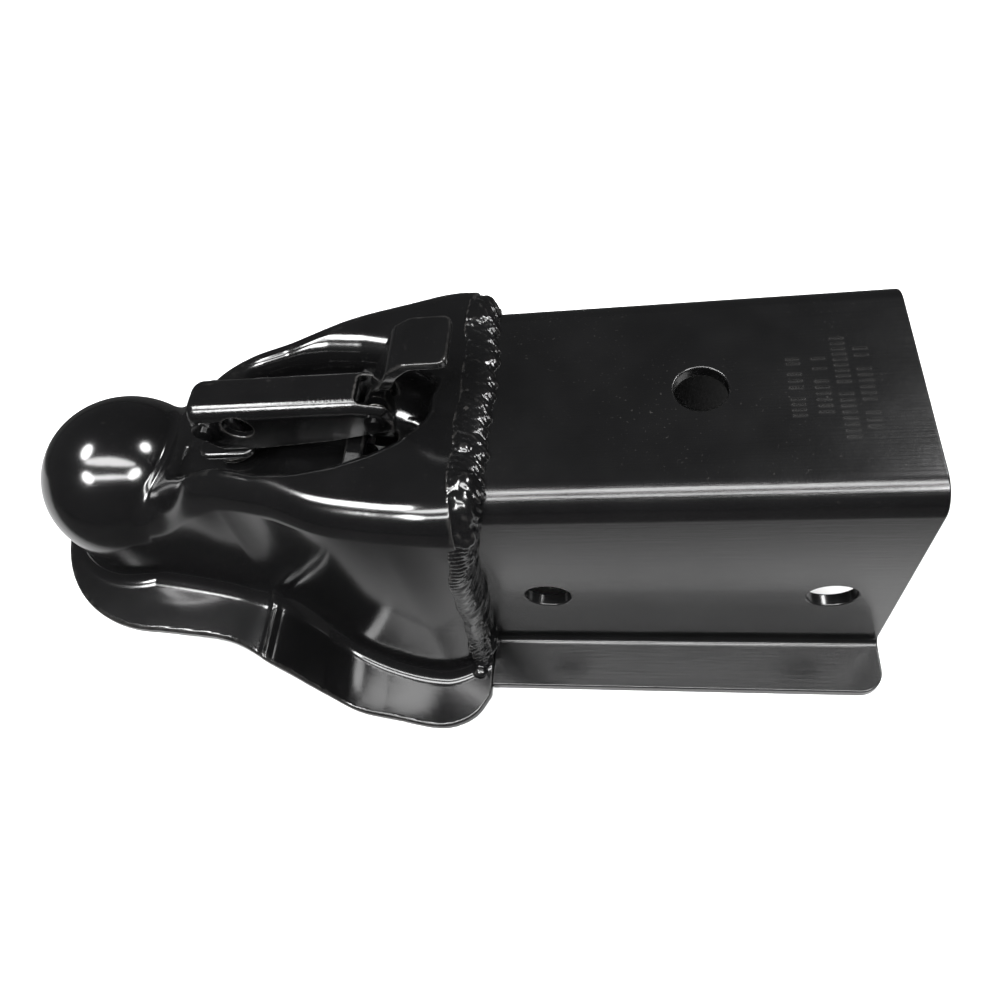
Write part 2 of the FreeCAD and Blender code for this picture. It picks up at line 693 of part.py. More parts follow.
def make_fulcrum_pin(doc, z):
    """The cross pin that the clamp rocks on, seated between the head's sides."""
    place = Vector(z["fulcrum_place"].worth, 0, z["fulcrum_height"].worth)
    length = z["fulcrum_half_length"] * 2
    return cylinder(doc, "clamp_fulcrum_pin", z["fulcrum_radius"], length, place, Vector(0, 1, 0))


def make_nut_stack(doc, z):
    """The washer, lock nut and nylon ring on the stud's lower end."""
    up = Vector(0, 0, 1)
    place = z["stud_place"].worth
    washer_top = z["clamp_bottom"].worth - 0.8
    thick = 2.5
    nut_high = 8.0
    ring_high = 2.6
    shank = z["stud_radius"]
    flat = washer(doc, "clamp_washer", 10.0, shank + 0.02, thick,
                  Vector(place, 0, washer_top - thick / 2), up)
    nut_top = washer_top - thick
    hexagon = doc.addObject("Part::Prism", "nut_hexagon")
    hexagon.Polygon = 6
    bind(hexagon, "Circumradius", z["nut_across_flats"] / math.sqrt(3))
    hexagon.Height = nut_high
    hexagon.Placement = FreeCAD.Placement(Vector(place, 0, nut_top - nut_high), FreeCAD.Rotation())
    hole = cylinder(doc, "nut_thread", shank + 0.02, 40.0, Vector(place, 0, nut_top), up)
    nut = hide_tool(doc, "Part::Cut", "lock_nut", hexagon, hole)
    nut.Label = "lock_nut"
    insert = washer(doc, "lock_nut_insert", 6.9, shank + 0.02, ring_high,
                    Vector(place, 0, nut_top - nut_high - ring_high / 2), up)
    return [flat, nut, insert]


def build(doc):
    """Makes every sub-part and returns them."""
    z = make_sheet(doc)
    head = make_socket_head(doc, z)
    channel = make_tongue_channel(doc, z)
    parts = [head, channel]
    parts += make_weld_beads(doc, z, head, channel)
    parts += [make_latch_lever(doc, z), make_latch_stud(doc, z)]
    parts += make_pins_and_clips(doc, z)
    parts += make_springs(doc, z)
    parts += [make_cam_saddle(doc, z), make_keeper_strap(doc, z), make_finger_trigger(doc, z)]
    parts += [make_ball_clamp(doc, z), make_fulcrum_pin(doc, z)]
    parts += make_nut_stack(doc, z)
    doc.recompute()
    return parts


def check(doc, parts):
    """Stops the build if anything failed."""
    for item in doc.Objects:
        if "Invalid" in item.State or "Error" in item.State:
            raise RuntimeError(f"{item.Label} failed: {item.State}")
    for part in parts:
        if part.Shape.isNull() or not part.Shape.isValid():
            raise RuntimeError(f"{part.Label} has no valid shape")
        box = part.Shape.BoundBox
        print(f"{part.Label}: {len(part.Shape.Solids)} solid, {part.Shape.Volume:.0f} mm3, "
              f"x {box.XMin:.1f}..{box.XMax:.1f} y {box.YMin:.1f}..{box.YMax:.1f} "
              f"z {box.ZMin:.1f}..{box.ZMax:.1f}")


def main():
    doc = FreeCAD.newDocument("coupler")
    parts = build(doc)
    check(doc, parts)
    os.makedirs("parts", exist_ok=True)
    for part in parts:
        part.Shape.exportStep(f"parts/{part.Label}.step")


main()
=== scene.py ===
"""The looks of a straight-tongue trailer ball coupler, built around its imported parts.

Lengths in the classes are millimetres in the part's own frame: the origin is the centre of the ball
socket, +X points rearward along the tongue and +Z points up. Meshes are scaled to metres when made.
"""

from __future__ import annotations

import logging
import math
from collections.abc import Callable, Sequence
from dataclasses import dataclass, field
from enum import Enum

import bmesh
import bpy
import numpy as np
from mathutils import Matrix, Vector

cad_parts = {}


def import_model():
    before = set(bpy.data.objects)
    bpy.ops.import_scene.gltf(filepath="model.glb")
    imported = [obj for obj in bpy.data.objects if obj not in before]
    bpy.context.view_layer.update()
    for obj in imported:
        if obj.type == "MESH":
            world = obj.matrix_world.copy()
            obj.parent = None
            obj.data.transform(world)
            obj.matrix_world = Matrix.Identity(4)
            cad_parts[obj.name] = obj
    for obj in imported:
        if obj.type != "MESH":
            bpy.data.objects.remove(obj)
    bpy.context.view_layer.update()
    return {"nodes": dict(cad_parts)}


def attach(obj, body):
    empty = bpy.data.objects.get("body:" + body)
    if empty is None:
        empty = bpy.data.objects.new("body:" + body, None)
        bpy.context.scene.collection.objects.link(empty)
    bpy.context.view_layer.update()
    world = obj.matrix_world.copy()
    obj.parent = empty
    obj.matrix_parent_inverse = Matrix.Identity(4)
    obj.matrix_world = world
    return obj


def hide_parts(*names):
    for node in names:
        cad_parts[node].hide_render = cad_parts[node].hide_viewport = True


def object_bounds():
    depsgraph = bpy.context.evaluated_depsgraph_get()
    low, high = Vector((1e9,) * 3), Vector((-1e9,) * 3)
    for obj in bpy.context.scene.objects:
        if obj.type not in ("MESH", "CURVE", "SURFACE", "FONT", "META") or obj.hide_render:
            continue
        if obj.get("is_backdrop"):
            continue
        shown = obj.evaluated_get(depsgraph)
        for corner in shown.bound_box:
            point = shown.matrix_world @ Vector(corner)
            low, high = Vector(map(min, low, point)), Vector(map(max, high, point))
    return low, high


LOG = logging.getLogger("coupler")
MM = 0.001
Points = np.ndarray
Distance = Callable[[Points, Points, Points], Points]


# ------------------------------------------------------------------ shapes as distance fields

def round_max(a: Points, b: Points, radius: float) -> Points:
    """Joins two distances as an intersection with a rounded outer corner.

    Args:
        a: First signed distance.
        b: Second signed distance.
        radius: Radius of the corner.

    Returns:
        The joined signed distance.
    """
    u = np.maximum(a + radius, 0.0)
    v = np.maximum(b + radius, 0.0)
    return np.minimum(np.maximum(a, b), -radius) + np.hypot(u, v)


def round_min(a: Points, b: Points, radius: float) -> Points:
    """Joins two distances as a union with a filleted inner corner.

    Args:
        a: First signed distance.
        b: Second signed distance.
        radius: Radius of the fillet.

    Returns:
        The joined signed distance.
    """
    u = np.maximum(radius - a, 0.0)
    v = np.maximum(radius - b, 0.0)
    return np.maximum(np.minimum(a, b), radius) - np.hypot(u, v)


def outline_distance(u: Points, v: Points, corners: Sequence[tuple[float, float]]) -> Points:
    """Signed distance to a closed outline in a plane, negative inside.

    Args:
        u: First coordinate of the points.
        v: Second coordinate of the points.
        corners: Corners of the outline, in order.

    Returns:
        The signed distance of each point.
    """
    size = np.broadcast(u, v).shape
    nearest = np.full(size, np.inf)
    inside = np.zeros(size, bool)
    for (ax, ay), (bx, by) in zip(corners, [*corners[1:], corners[0]]):
        ex, ey = bx - ax, by - ay
        wx, wy = u - ax, v - ay
        along = np.clip((wx * ex + wy * ey) / (ex * ex + ey * ey), 0.0, 1.0)
        nearest = np.minimum(nearest, (wx - ex * along) ** 2 + (wy - ey * along) ** 2)
        crosses = (ay > v) != (by > v)
        slope = ex / ey if ey else 0.0
        inside ^= crosses & (u < ax + (v - ay) * slope)
    return np.where(inside, -1.0, 1.0) * np.sqrt(nearest)


@dataclass(frozen=True)
class Run:
    """A smooth curve through stations, used for a size that changes along the part."""

    places: tuple[float, ...]
    values: tuple[float, ...]

    def at(self, x: Points) -> Points:
        """Value of the curve at each place.

        Args:
            x: Places along the part.

        Returns:
            The values there.
        """
        xs = np.array(self.places, float)
        ys = np.array(self.values, float)
        steps = np.diff(ys) / np.diff(xs)
        inner = np.where(steps[1:] * steps[:-1] > 0, (steps[1:] + steps[:-1]) / 2, 0.0)
        slopes = np.concatenate([[steps[0]], inner, [steps[-1]]])
        x = np.clip(x, xs[0], xs[-1])
        cell = np.clip(np.searchsorted(xs, x, side="right") - 1, 0, len(xs) - 2)
        width = xs[cell + 1] - xs[cell]
        t = (x - xs[cell]) / width
        rise = ys[cell] * (1 + 2 * t) * (1 - t) ** 2 + ys[cell + 1] * t * t * (3 - 2 * t)
        bend = width * (slopes[cell] * t * (1 - t) ** 2 - slopes[cell + 1] * t * t * (1 - t))
        return rise + bend


CORNERS = np.array([(i, j, k) for i in (0, 1) for j in (0, 1) for k in (0, 1)])
CELL_EDGES = [(a, b) for a in range(8) for b in range(a + 1, 8) if np.abs(CORNERS[a] - CORNERS[b]).sum() == 1]


@dataclass
class FieldMesher:
    """Turns a distance field into a quad mesh that lies on the field's surface."""

    low: tuple[float, float, float]
    high: tuple[float, float, float]
    pitch: float
    slab: int = 12

    def _sample(self, shape: Distance) -> np.ndarray:
        """Field values on the grid, worked out slab by slab.

        Args:
            shape: The distance field.

        Returns:
            A three-dimensional array of distances.
        """
        axes = [np.arange(lo, hi + self.pitch, self.pitch) for lo, hi in zip(self.low, self.high)]
        values = np.empty([len(axis) for axis in axes])
        for start in range(0, len(axes[0]), self.slab):
            part = axes[0][start:start + self.slab]
            grid = np.meshgrid(part, axes[1], axes[2], indexing="ij", sparse=True)
            values[start:start + self.slab] = shape(*grid)
        return values

    def _cells(self, values: np.ndarray) -> tuple[np.ndarray, np.ndarray]:
        """One point in each cell that the surface crosses.

        Args:
            values: Field values on the grid.

        Returns:
            The cells' indices and the points inside them, in grid steps.
        """
        inside = values < 0
        count = sum(inside[i:inside.shape[0] - 1 + i, j:inside.shape[1] - 1 + j,
                           k:inside.shape[2] - 1 + k].astype(np.int8) for i, j, k in CORNERS)
        cells = np.argwhere((count > 0) & (count < 8))
        corner = np.stack([values[tuple((cells + c).T)] for c in CORNERS], axis=1)
        total = np.zeros((len(cells), 3))
        hits = np.zeros(len(cells))
        for a, b in CELL_EDGES:
            crossed = (corner[:, a] < 0) != (corner[:, b] < 0)
            gap = np.where(crossed, corner[:, a] - corner[:, b], 1.0)
            t = np.where(crossed, corner[:, a] / gap, 0.0)
            place = CORNERS[a] + t[:, None] * (CORNERS[b] - CORNERS[a])
            total += place * crossed[:, None]
            hits += crossed
        return cells, total / hits[:, None]

    @staticmethod
    def _quads(values: np.ndarray, cells: np.ndarray) -> np.ndarray:
        """Quads between the cells round each crossed grid edge.

        Args:
            values: Field values on the grid.
            cells: Indices of the crossed cells.

        Returns:
            Four point indices for each quad.
        """
        number = np.full(np.array(values.shape) - 1, -1)
        number[tuple(cells.T)] = np.arange(len(cells))
        inside = values < 0
        found = []
        for axis in range(3):
            first, second = [other for other in range(3) if other != axis]
            ahead = np.take(inside, range(1, inside.shape[axis]), axis)
            behind = np.take(inside, range(inside.shape[axis] - 1), axis)
            edges = np.argwhere(ahead != behind)
            keep = (edges[:, first] > 0) & (edges[:, second] > 0)
            keep &= (edges[:, first] < number.shape[first]) & (edges[:, second] < number.shape[second])
            edges = edges[keep]
            leaving = behind[tuple(edges.T)]
            ring = []
            for du, dv in ((1, 1), (0, 1), (0, 0), (1, 0)):
                cell = edges.copy()
                cell[:, first] -= du
                cell[:, second] -= dv
                ring.append(number[tuple(cell.T)])
            quads = np.stack(ring, axis=1)
            flip = leaving == (axis == 1)
            quads[flip] = quads[flip][:, ::-1]
            found.append(quads)
        return np.concatenate(found)

    @staticmethod
    def _relaxed(points: np.ndarray, quads: np.ndarray, share: float = 0.5) -> np.ndarray:
        """Moves each point part of the way to the middle of its neighbours.

        Args:
            points: Points of the mesh.
            quads: Its quads.
            share: How far to go, from 0 to 1.

        Returns:
            The moved points.
        """
        ends = np.concatenate([quads[:, [i, (i + 1) % 4]] for i in range(4)])
        count = sum(np.bincount(ends[:, end], minlength=len(points)) for end in (0, 1))
        middle = np.empty_like(points)
        for axis in range(3):
            ahead = np.bincount(ends[:, 0], points[ends[:, 1], axis], len(points))
            behind = np.bincount(ends[:, 1], points[ends[:, 0], axis], len(points))
            middle[:, axis] = (ahead + behind) / np.maximum(count, 1)
        return points + (middle - points) * share

    @staticmethod
    def _gradient(shape: Distance, points: np.ndarray, step: float = 0.03) -> np.ndarray:
        """Slope of the field at each point.

        Args:
            shape: The distance field.
            points: Points to measure at.
            step: Half the distance between the two measurements.

        Returns:
            One vector for each point.
        """
        slope = np.empty_like(points)
        for axis in range(3):
            shift = np.zeros(3)
            shift[axis] = step
            ahead = shape(*(points + shift).T)
            behind = shape(*(points - shift).T)
            slope[:, axis] = (ahead - behind) / (2 * step)
        return slope

    def mesh(self, name: str, shape: Distance, settle: int = 3) -> bpy.types.Object:
        """Makes the object.

        Args:
            name: Name of the new piece.
            shape: Its distance field.
            settle: How many times the points are drawn onto the surface.

        Returns:
            The new object, with normals taken from the field.
        """
        values = self._sample(shape)
        cells, inner = self._cells(values)
        quads = self._quads(values, cells)
        points = np.array(self.low) + self.pitch * (cells + inner)
        for _ in range(settle):
            points = self._relaxed(points, quads)
            slope = self._gradient(shape, points)
            length = np.maximum((slope ** 2).sum(1), 0.05)
            move = slope * (shape(*points.T) / length)[:, None]
            points -= np.clip(move, -self.pitch * 0.6, self.pitch * 0.6)
        normals = self._gradient(shape, points)
        normals /= np.maximum(np.linalg.norm(normals, axis=1), 1e-6)[:, None]
        data = bpy.data.meshes.new(name)
        data.from_pydata((points * MM).tolist(), [], quads.tolist())
        data.validate()
        data.polygons.foreach_set("use_smooth", [True] * len(data.polygons))
        data.normals_split_custom_set_from_vertices(normals.tolist())
        piece = bpy.data.objects.new(name, data)
        bpy.context.scene.collection.objects.link(piece)
        return piece


# ------------------------------------------------------------------ finishes

class Axis(Enum):
    """Direction along which a finish is drawn out."""

    ALONG = (0.03, 1.0, 1.0)
    ACROSS = (1.0, 0.03, 1.0)


class NodeBench:
    """A short way to place and join shader nodes."""

    def __init__(self, tree: bpy.types.NodeTree) -> None:
        """Starts on an empty tree."""
        self.tree = tree
        tree.nodes.clear()

    def add(self, kind: str, inputs: dict | None = None, **settings: object) -> bpy.types.Node:
        """Places a node.

        Args:
            kind: Blender's name of the node type.
            inputs: Socket name or number to a constant, or to the output socket that feeds it.
            **settings: Attributes of the node.

        Returns:
            The new node.
        """
        node = self.tree.nodes.new(kind)
        for name, value in settings.items():
            setattr(node, name, value)
        for name, value in (inputs or {}).items():
            if isinstance(value, bpy.types.NodeSocket):
                self.tree.links.new(value, node.inputs[name])
            else:
                node.inputs[name].default_value = value
        return node

    def noise(self, scale: float | bpy.types.NodeSocket, detail: float, place: bpy.types.NodeSocket,
              roughness: float = 0.5) -> bpy.types.NodeSocket:
        """Places a noise texture and returns its value output."""
        inputs = {"Vector": place, "Scale": scale, "Detail": detail, "Roughness": roughness}
        return self.add("ShaderNodeTexNoise", inputs).outputs[0]

    def band(self, value: bpy.types.NodeSocket, low: float, high: float, to_low: float = 0.0,
             to_high: float = 1.0) -> bpy.types.NodeSocket:
        """Stretches a range of values to another, clamped, and returns the result."""
        inputs = {"Value": value, "From Min": low, "From Max": high, "To Min": to_low, "To Max": to_high}
        return self.add("ShaderNodeMapRange", inputs).outputs[0]

    def math(self, operation: str, a: object, b: object) -> bpy.types.NodeSocket:
        """Joins two values with a sum, product or power and returns the result."""
        return self.add("ShaderNodeMath", {0: a, 1: b}, operation=operation).outputs[0]

    def blend(self, mask: bpy.types.NodeSocket, a: object, b: object) -> bpy.types.NodeSocket:
        """Mixes two colours by a mask and returns the result."""
        node = self.add("ShaderNodeMix", data_type="RGBA")
        for socket, value in ((node.inputs[0], mask), (node.inputs[6], a), (node.inputs[7], b)):
            if isinstance(value, bpy.types.NodeSocket):
                self.tree.links.new(value, socket)
            else:
                socket.default_value = value
        return node.outputs[2]


class EffectGroup:
    """A shader node group that several finishes share, built once."""

    def __init__(self, name: str, inputs: dict[str, float], outputs: Sequence[str],
                 fill: Callable[[NodeBench, dict[str, bpy.types.NodeSocket]], dict]) -> None:
        """Builds the group.

        Args:
            name: Name of the group.
            inputs: Float inputs and their defaults.
            outputs: Names of the float outputs.
            fill: Makes the nodes; takes the bench and the inputs, gives a socket for each output.
        """
        self.tree = bpy.data.node_groups.new(name, "ShaderNodeTree")
        for label, default in inputs.items():
            socket = self.tree.interface.new_socket(label, in_out="INPUT", socket_type="NodeSocketFloat")
            socket.default_value = default
        for label in outputs:
            self.tree.interface.new_socket(label, in_out="OUTPUT", socket_type="NodeSocketFloat")
        bench = NodeBench(self.tree)
        entry = bench.add("NodeGroupInput")
        made = fill(bench, {label: entry.outputs[label] for label in inputs})
        bench.add("NodeGroupOutput", made)

    def place(self, bench: NodeBench, inputs: dict[str, float]) -> bpy.types.Node:
        """Puts the group into a material with values of its own."""
        node = bench.tree.nodes.new("ShaderNodeGroup")
        node.node_tree = self.tree
        for label, value in inputs.items():
            node.inputs[label].default_value = value
        return node


class Effects:
    """The effects that the finishes share: orange peel, drawn lines, worn edges and dust."""

    def __init__(self) -> None:
        """Builds the five groups."""
        self.peel = EffectGroup("orange_peel", {"Grain": 520.0}, ("Height", "Tone"), self._peel)
        self.lines = EffectGroup("drawn_lines", {"Grain": 900.0, "Stretch X": 1.0, "Stretch Y": 1.0,
                                                 "Stretch Z": 1.0}, ("Height",), self._lines)
        self.wear = EffectGroup("edge_wear", {"Reach": 0.02, "Breakup": 240.0}, ("Mask",), self._wear)
        self.rim = EffectGroup("rim_wear", {"Width": 0.0009, "Breakup": 240.0}, ("Mask",), self._rim)
        self.dust = EffectGroup("settled_dust", {"Grain": 900.0, "Amount": 0.5}, ("Mask",), self._dust)

    @staticmethod
    def _peel(bench: NodeBench, given: dict[str, bpy.types.NodeSocket]) -> dict:
        """Fine round ripples of sprayed paint over slower waves in the metal."""
        place = bench.add("ShaderNodeTexCoord").outputs["Object"]
        fine = bench.noise(given["Grain"], 1.0, place)
        slow = bench.noise(bench.math("MULTIPLY", given["Grain"], 0.13), 2.0, place)
        height = bench.math("ADD", bench.math("MULTIPLY", fine, 0.35), slow)
        return {"Height": height, "Tone": bench.band(slow, 0.3, 0.7)}

    @staticmethod
    def _lines(bench: NodeBench, given: dict[str, bpy.types.NodeSocket]) -> dict:
        """Long fine lines that rolling or drawing leaves in steel."""
        place = bench.add("ShaderNodeTexCoord").outputs["Object"]
        stretch = bench.add("ShaderNodeCombineXYZ", {0: given["Stretch X"], 1: given["Stretch Y"],
                                                     2: given["Stretch Z"]})
        drawn = bench.add("ShaderNodeVectorMath", {0: place, 1: stretch.outputs[0]}, operation="MULTIPLY")
        return {"Height": bench.noise(given["Grain"], 3.0, drawn.outputs[0], 0.6)}

    @staticmethod
    def _wear(bench: NodeBench, given: dict[str, bpy.types.NodeSocket]) -> dict:
        """Outer edges, broken up by noise."""
        point = bench.add("ShaderNodeNewGeometry").outputs["Pointiness"]
        place = bench.add("ShaderNodeTexCoord").outputs["Object"]
        ragged = bench.math("MULTIPLY", bench.math("SUBTRACT", bench.noise(given["Breakup"], 4.0, place),
                                                   0.5), 0.1)
        raised = bench.math("SUBTRACT", bench.math("ADD", point, ragged), 0.52)
        share = bench.math("DIVIDE", raised, given["Reach"])
        return {"Mask": bench.band(share, 0.0, 1.0)}

    @staticmethod
    def _rim(bench: NodeBench, given: dict[str, bpy.types.NodeSocket]) -> dict:
        """Edges of large flat faces, found by how far a rounded normal leans."""
        flat = bench.add("ShaderNodeNewGeometry").outputs["Normal"]
        place = bench.add("ShaderNodeTexCoord").outputs["Object"]
        rounded = bench.add("ShaderNodeBevel", {"Radius": given["Width"]}, samples=4).outputs[0]
        turned = bench.add("ShaderNodeVectorMath", {0: flat, 1: rounded}, operation="DOT_PRODUCT")
        lean = turned.outputs["Value"]
        ragged = bench.band(bench.noise(given["Breakup"], 4.0, place), 0.35, 0.65, 0.3, 1.0)
        return {"Mask": bench.math("MULTIPLY", bench.band(lean, 0.99, 0.85), ragged)}

    @staticmethod
    def _dust(bench: NodeBench, given: dict[str, bpy.types.NodeSocket]) -> dict:
        """Small specks that lie mostly on faces that look up."""
        normal = bench.add("ShaderNodeNewGeometry").outputs["Normal"]
        up = bench.add("ShaderNodeSeparateXYZ", {0: normal}).outputs[2]
        place = bench.add("ShaderNodeTexCoord").outputs["Object"]
        speck = bench.band(bench.noise(given["Grain"], 2.0, place), 0.68, 0.8)
        patch = bench.band(bench.noise(38.0, 3.0, place), 0.4, 0.7)
        lying = bench.math("MULTIPLY", bench.math("MULTIPLY", speck, patch), bench.band(up, 0.1, 0.9))
        return {"Mask": bench.math("MULTIPLY", lying, given["Amount"])}


@dataclass(frozen=True)
class PaintFinish:
    """Gloss black paint over steel."""

    name: str
    tone: float = 0.0028
    gloss: float = 0.15
    peel: float = 0.35
    grain: float = 420.0
    lines: float = 0.0
    lines_along: Axis = Axis.ALONG
    wear: float = 0.1
    flat_faces: bool = False
    dust: float = 0.12

    def make(self, effects: Effects) -> bpy.types.Material:
        """Builds the material.

        Args:
            effects: The shared effect groups.

        Returns:
            The new material.
        """
        material = bpy.data.materials.new(self.name)
        material.use_nodes = True
        bench = NodeBench(material.node_tree)
        peel = effects.peel.place(bench, {"Grain": self.grain})
        stretch = dict(zip(("Stretch X", "Stretch Y", "Stretch Z"), self.lines_along.value))
        lines = effects.lines.place(bench, {"Grain": 1500.0, **stretch})
        if self.flat_faces:
            wear = effects.rim.place(bench, {"Width": 0.0009, "Breakup": 300.0})
        else:
            wear = effects.wear.place(bench, {"Reach": 0.03, "Breakup": 300.0})
        dust = effects.dust.place(bench, {"Grain": 1100.0, "Amount": self.dust})
        worn = bench.math("MULTIPLY", wear.outputs[0], self.wear)
        black = (self.tone, self.tone, self.tone * 1.05, 1.0)
        lift = (self.tone * 1.3, self.tone * 1.3, self.tone * 1.35, 1.0)
        paint = bench.blend(peel.outputs["Tone"], black, lift)
        edge = bench.blend(worn, paint, (0.12, 0.115, 0.11, 1.0))
        colour = bench.blend(dust.outputs[0], edge, (0.22, 0.21, 0.2, 1.0))
        rough = bench.band(peel.outputs["Tone"], 0.0, 1.0, self.gloss * 0.93, self.gloss * 1.08)
        dusty = bench.math("MULTIPLY", dust.outputs[0], 0.5)
        rough = bench.math("ADD", bench.math("ADD", rough, bench.math("MULTIPLY", worn, 0.15)), dusty)
        height = bench.math("ADD", bench.math("MULTIPLY", peel.outputs["Height"], self.peel),
                            bench.math("MULTIPLY", lines.outputs[0], self.lines))
        bump = bench.add("ShaderNodeBump", {"Strength": 0.3, "Distance": 0.0004, "Height": height})
        shader = bench.add("ShaderNodeBsdfPrincipled", {
            "Base Color": colour, "Roughness": rough, "Normal": bump.outputs[0], "IOR": 1.5,
            "Specular IOR Level": 0.5, "Coat Weight": 0.2, "Coat Roughness": 0.09,
        })
        bench.add("ShaderNodeOutputMaterial", {"Surface": shader.outputs[0]})
        return material


@dataclass(frozen=True)
class MetalFinish:
    """Bare or plated steel, or moulded nylon when metallic is 0."""

    name: str
    colour: tuple[float, float, float]
    gloss: float
    metallic: float = 1.0
    lines: float = 0.5
    lines_along: Axis = Axis.ACROSS

    def make(self, effects: Effects) -> bpy.types.Material:
        """Builds the material.

        Args:
            effects: The shared effect groups.

        Returns:
            The new material.
        """
        material = bpy.data.materials.new(self.name)
        material.use_nodes = True
        bench = NodeBench(material.node_tree)
        peel = effects.peel.place(bench, {"Grain": 700.0})
        stretch = dict(zip(("Stretch X", "Stretch Y", "Stretch Z"), self.lines_along.value))
        lines = effects.lines.place(bench, {"Grain": 2200.0, **stretch})
        wear = effects.wear.place(bench, {"Reach": 0.05, "Breakup": 500.0})
        base = (*self.colour, 1.0)
        dark = tuple(c * 0.72 for c in self.colour) + (1.0,)
        bright = tuple(min(1.0, c * 1.4 + 0.04) for c in self.colour) + (1.0,)
        tone = bench.blend(peel.outputs["Tone"], dark, base)
        colour = bench.blend(wear.outputs[0], tone, bright)
        rough = bench.band(lines.outputs[0], 0.3, 0.7, self.gloss * 0.7, self.gloss * 1.3)
        height = bench.math("ADD", bench.math("MULTIPLY", peel.outputs["Height"], 0.3),
                            bench.math("MULTIPLY", lines.outputs[0], self.lines))
        bump = bench.add("ShaderNodeBump", {"Strength": 0.25, "Distance": 0.0003, "Height": height})
        shader = bench.add("ShaderNodeBsdfPrincipled", {
            "Base Color": colour, "Roughness": rough, "Normal": bump.outputs[0],
            "Metallic": self.metallic,
        })
        bench.add("ShaderNodeOutputMaterial", {"Surface": shader.outputs[0]})
        return material


# ------------------------------------------------------------------ outlines

def rounded_outline(corners: Sequence[tuple[float, float]], radii: float | Sequence[float],
                    steps: int = 6) -> list[tuple[float, float]]:
    """An outline whose corners are replaced by short arcs.

    Args:
        corners: Corners of the outline, in order.
        radii: One rounding for all corners, or one for each.
        steps: Points on each arc, less one.

    Returns:
        The rounded outline's points.
    """
    points = [Vector(corner) for corner in corners]
    if isinstance(radii, (int, float)):
        radii = [float(radii)] * len(points)
    rounded = []
    for index, (corner, radius) in enumerate(zip(points, radii)):
        before = points[index - 1] - corner
        after = points[(index + 1) % len(points)] - corner
        half = before.angle(after) / 2
        reach = min(radius / math.tan(half), before.length * 0.48, after.length * 0.48)
        start = corner + before.normalized() * reach
        end = corner + after.normalized() * reach
        for step in range(steps + 1):
            t = step / steps
            bend = start * (1 - t) ** 2 + corner * (2 * t * (1 - t)) + end * t * t
            rounded.append((bend.x, bend.y))
    return rounded


def settle_piece(piece: bpy.types.Object, body: str, material: bpy.types.Material,
                 nodes: Sequence[str]) -> None:
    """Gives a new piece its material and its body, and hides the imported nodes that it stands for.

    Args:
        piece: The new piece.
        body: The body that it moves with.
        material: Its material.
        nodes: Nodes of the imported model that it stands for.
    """
    piece.data.materials.clear()
    piece.data.materials.append(material)
    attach(piece, body)
    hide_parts(*nodes)
    LOG.info("%s: %d faces on %s", piece.name, len(piece.data.polygons), body)


# ------------------------------------------------------------------ head and tongue

STATIONS = (0.0, 28.0, 50.0, 64.0, 82.0, 104.0, 128.0, 147.0, 156.0)


@dataclass(frozen=True)
class SeamLine:
    """Where the head ends and the channel starts: level with the top, leaning forward down the sides."""

    place: float = 154.0
    toe: float = 147.0
    corner: float = 34.0
    base: float = -72.0

    def at(self, z: Points) -> Points:
        """Place of the seam at each height."""
        drop = np.maximum(self.corner - z, 0.0) / (self.corner - self.base)
        return self.place - (self.place - self.toe) * drop


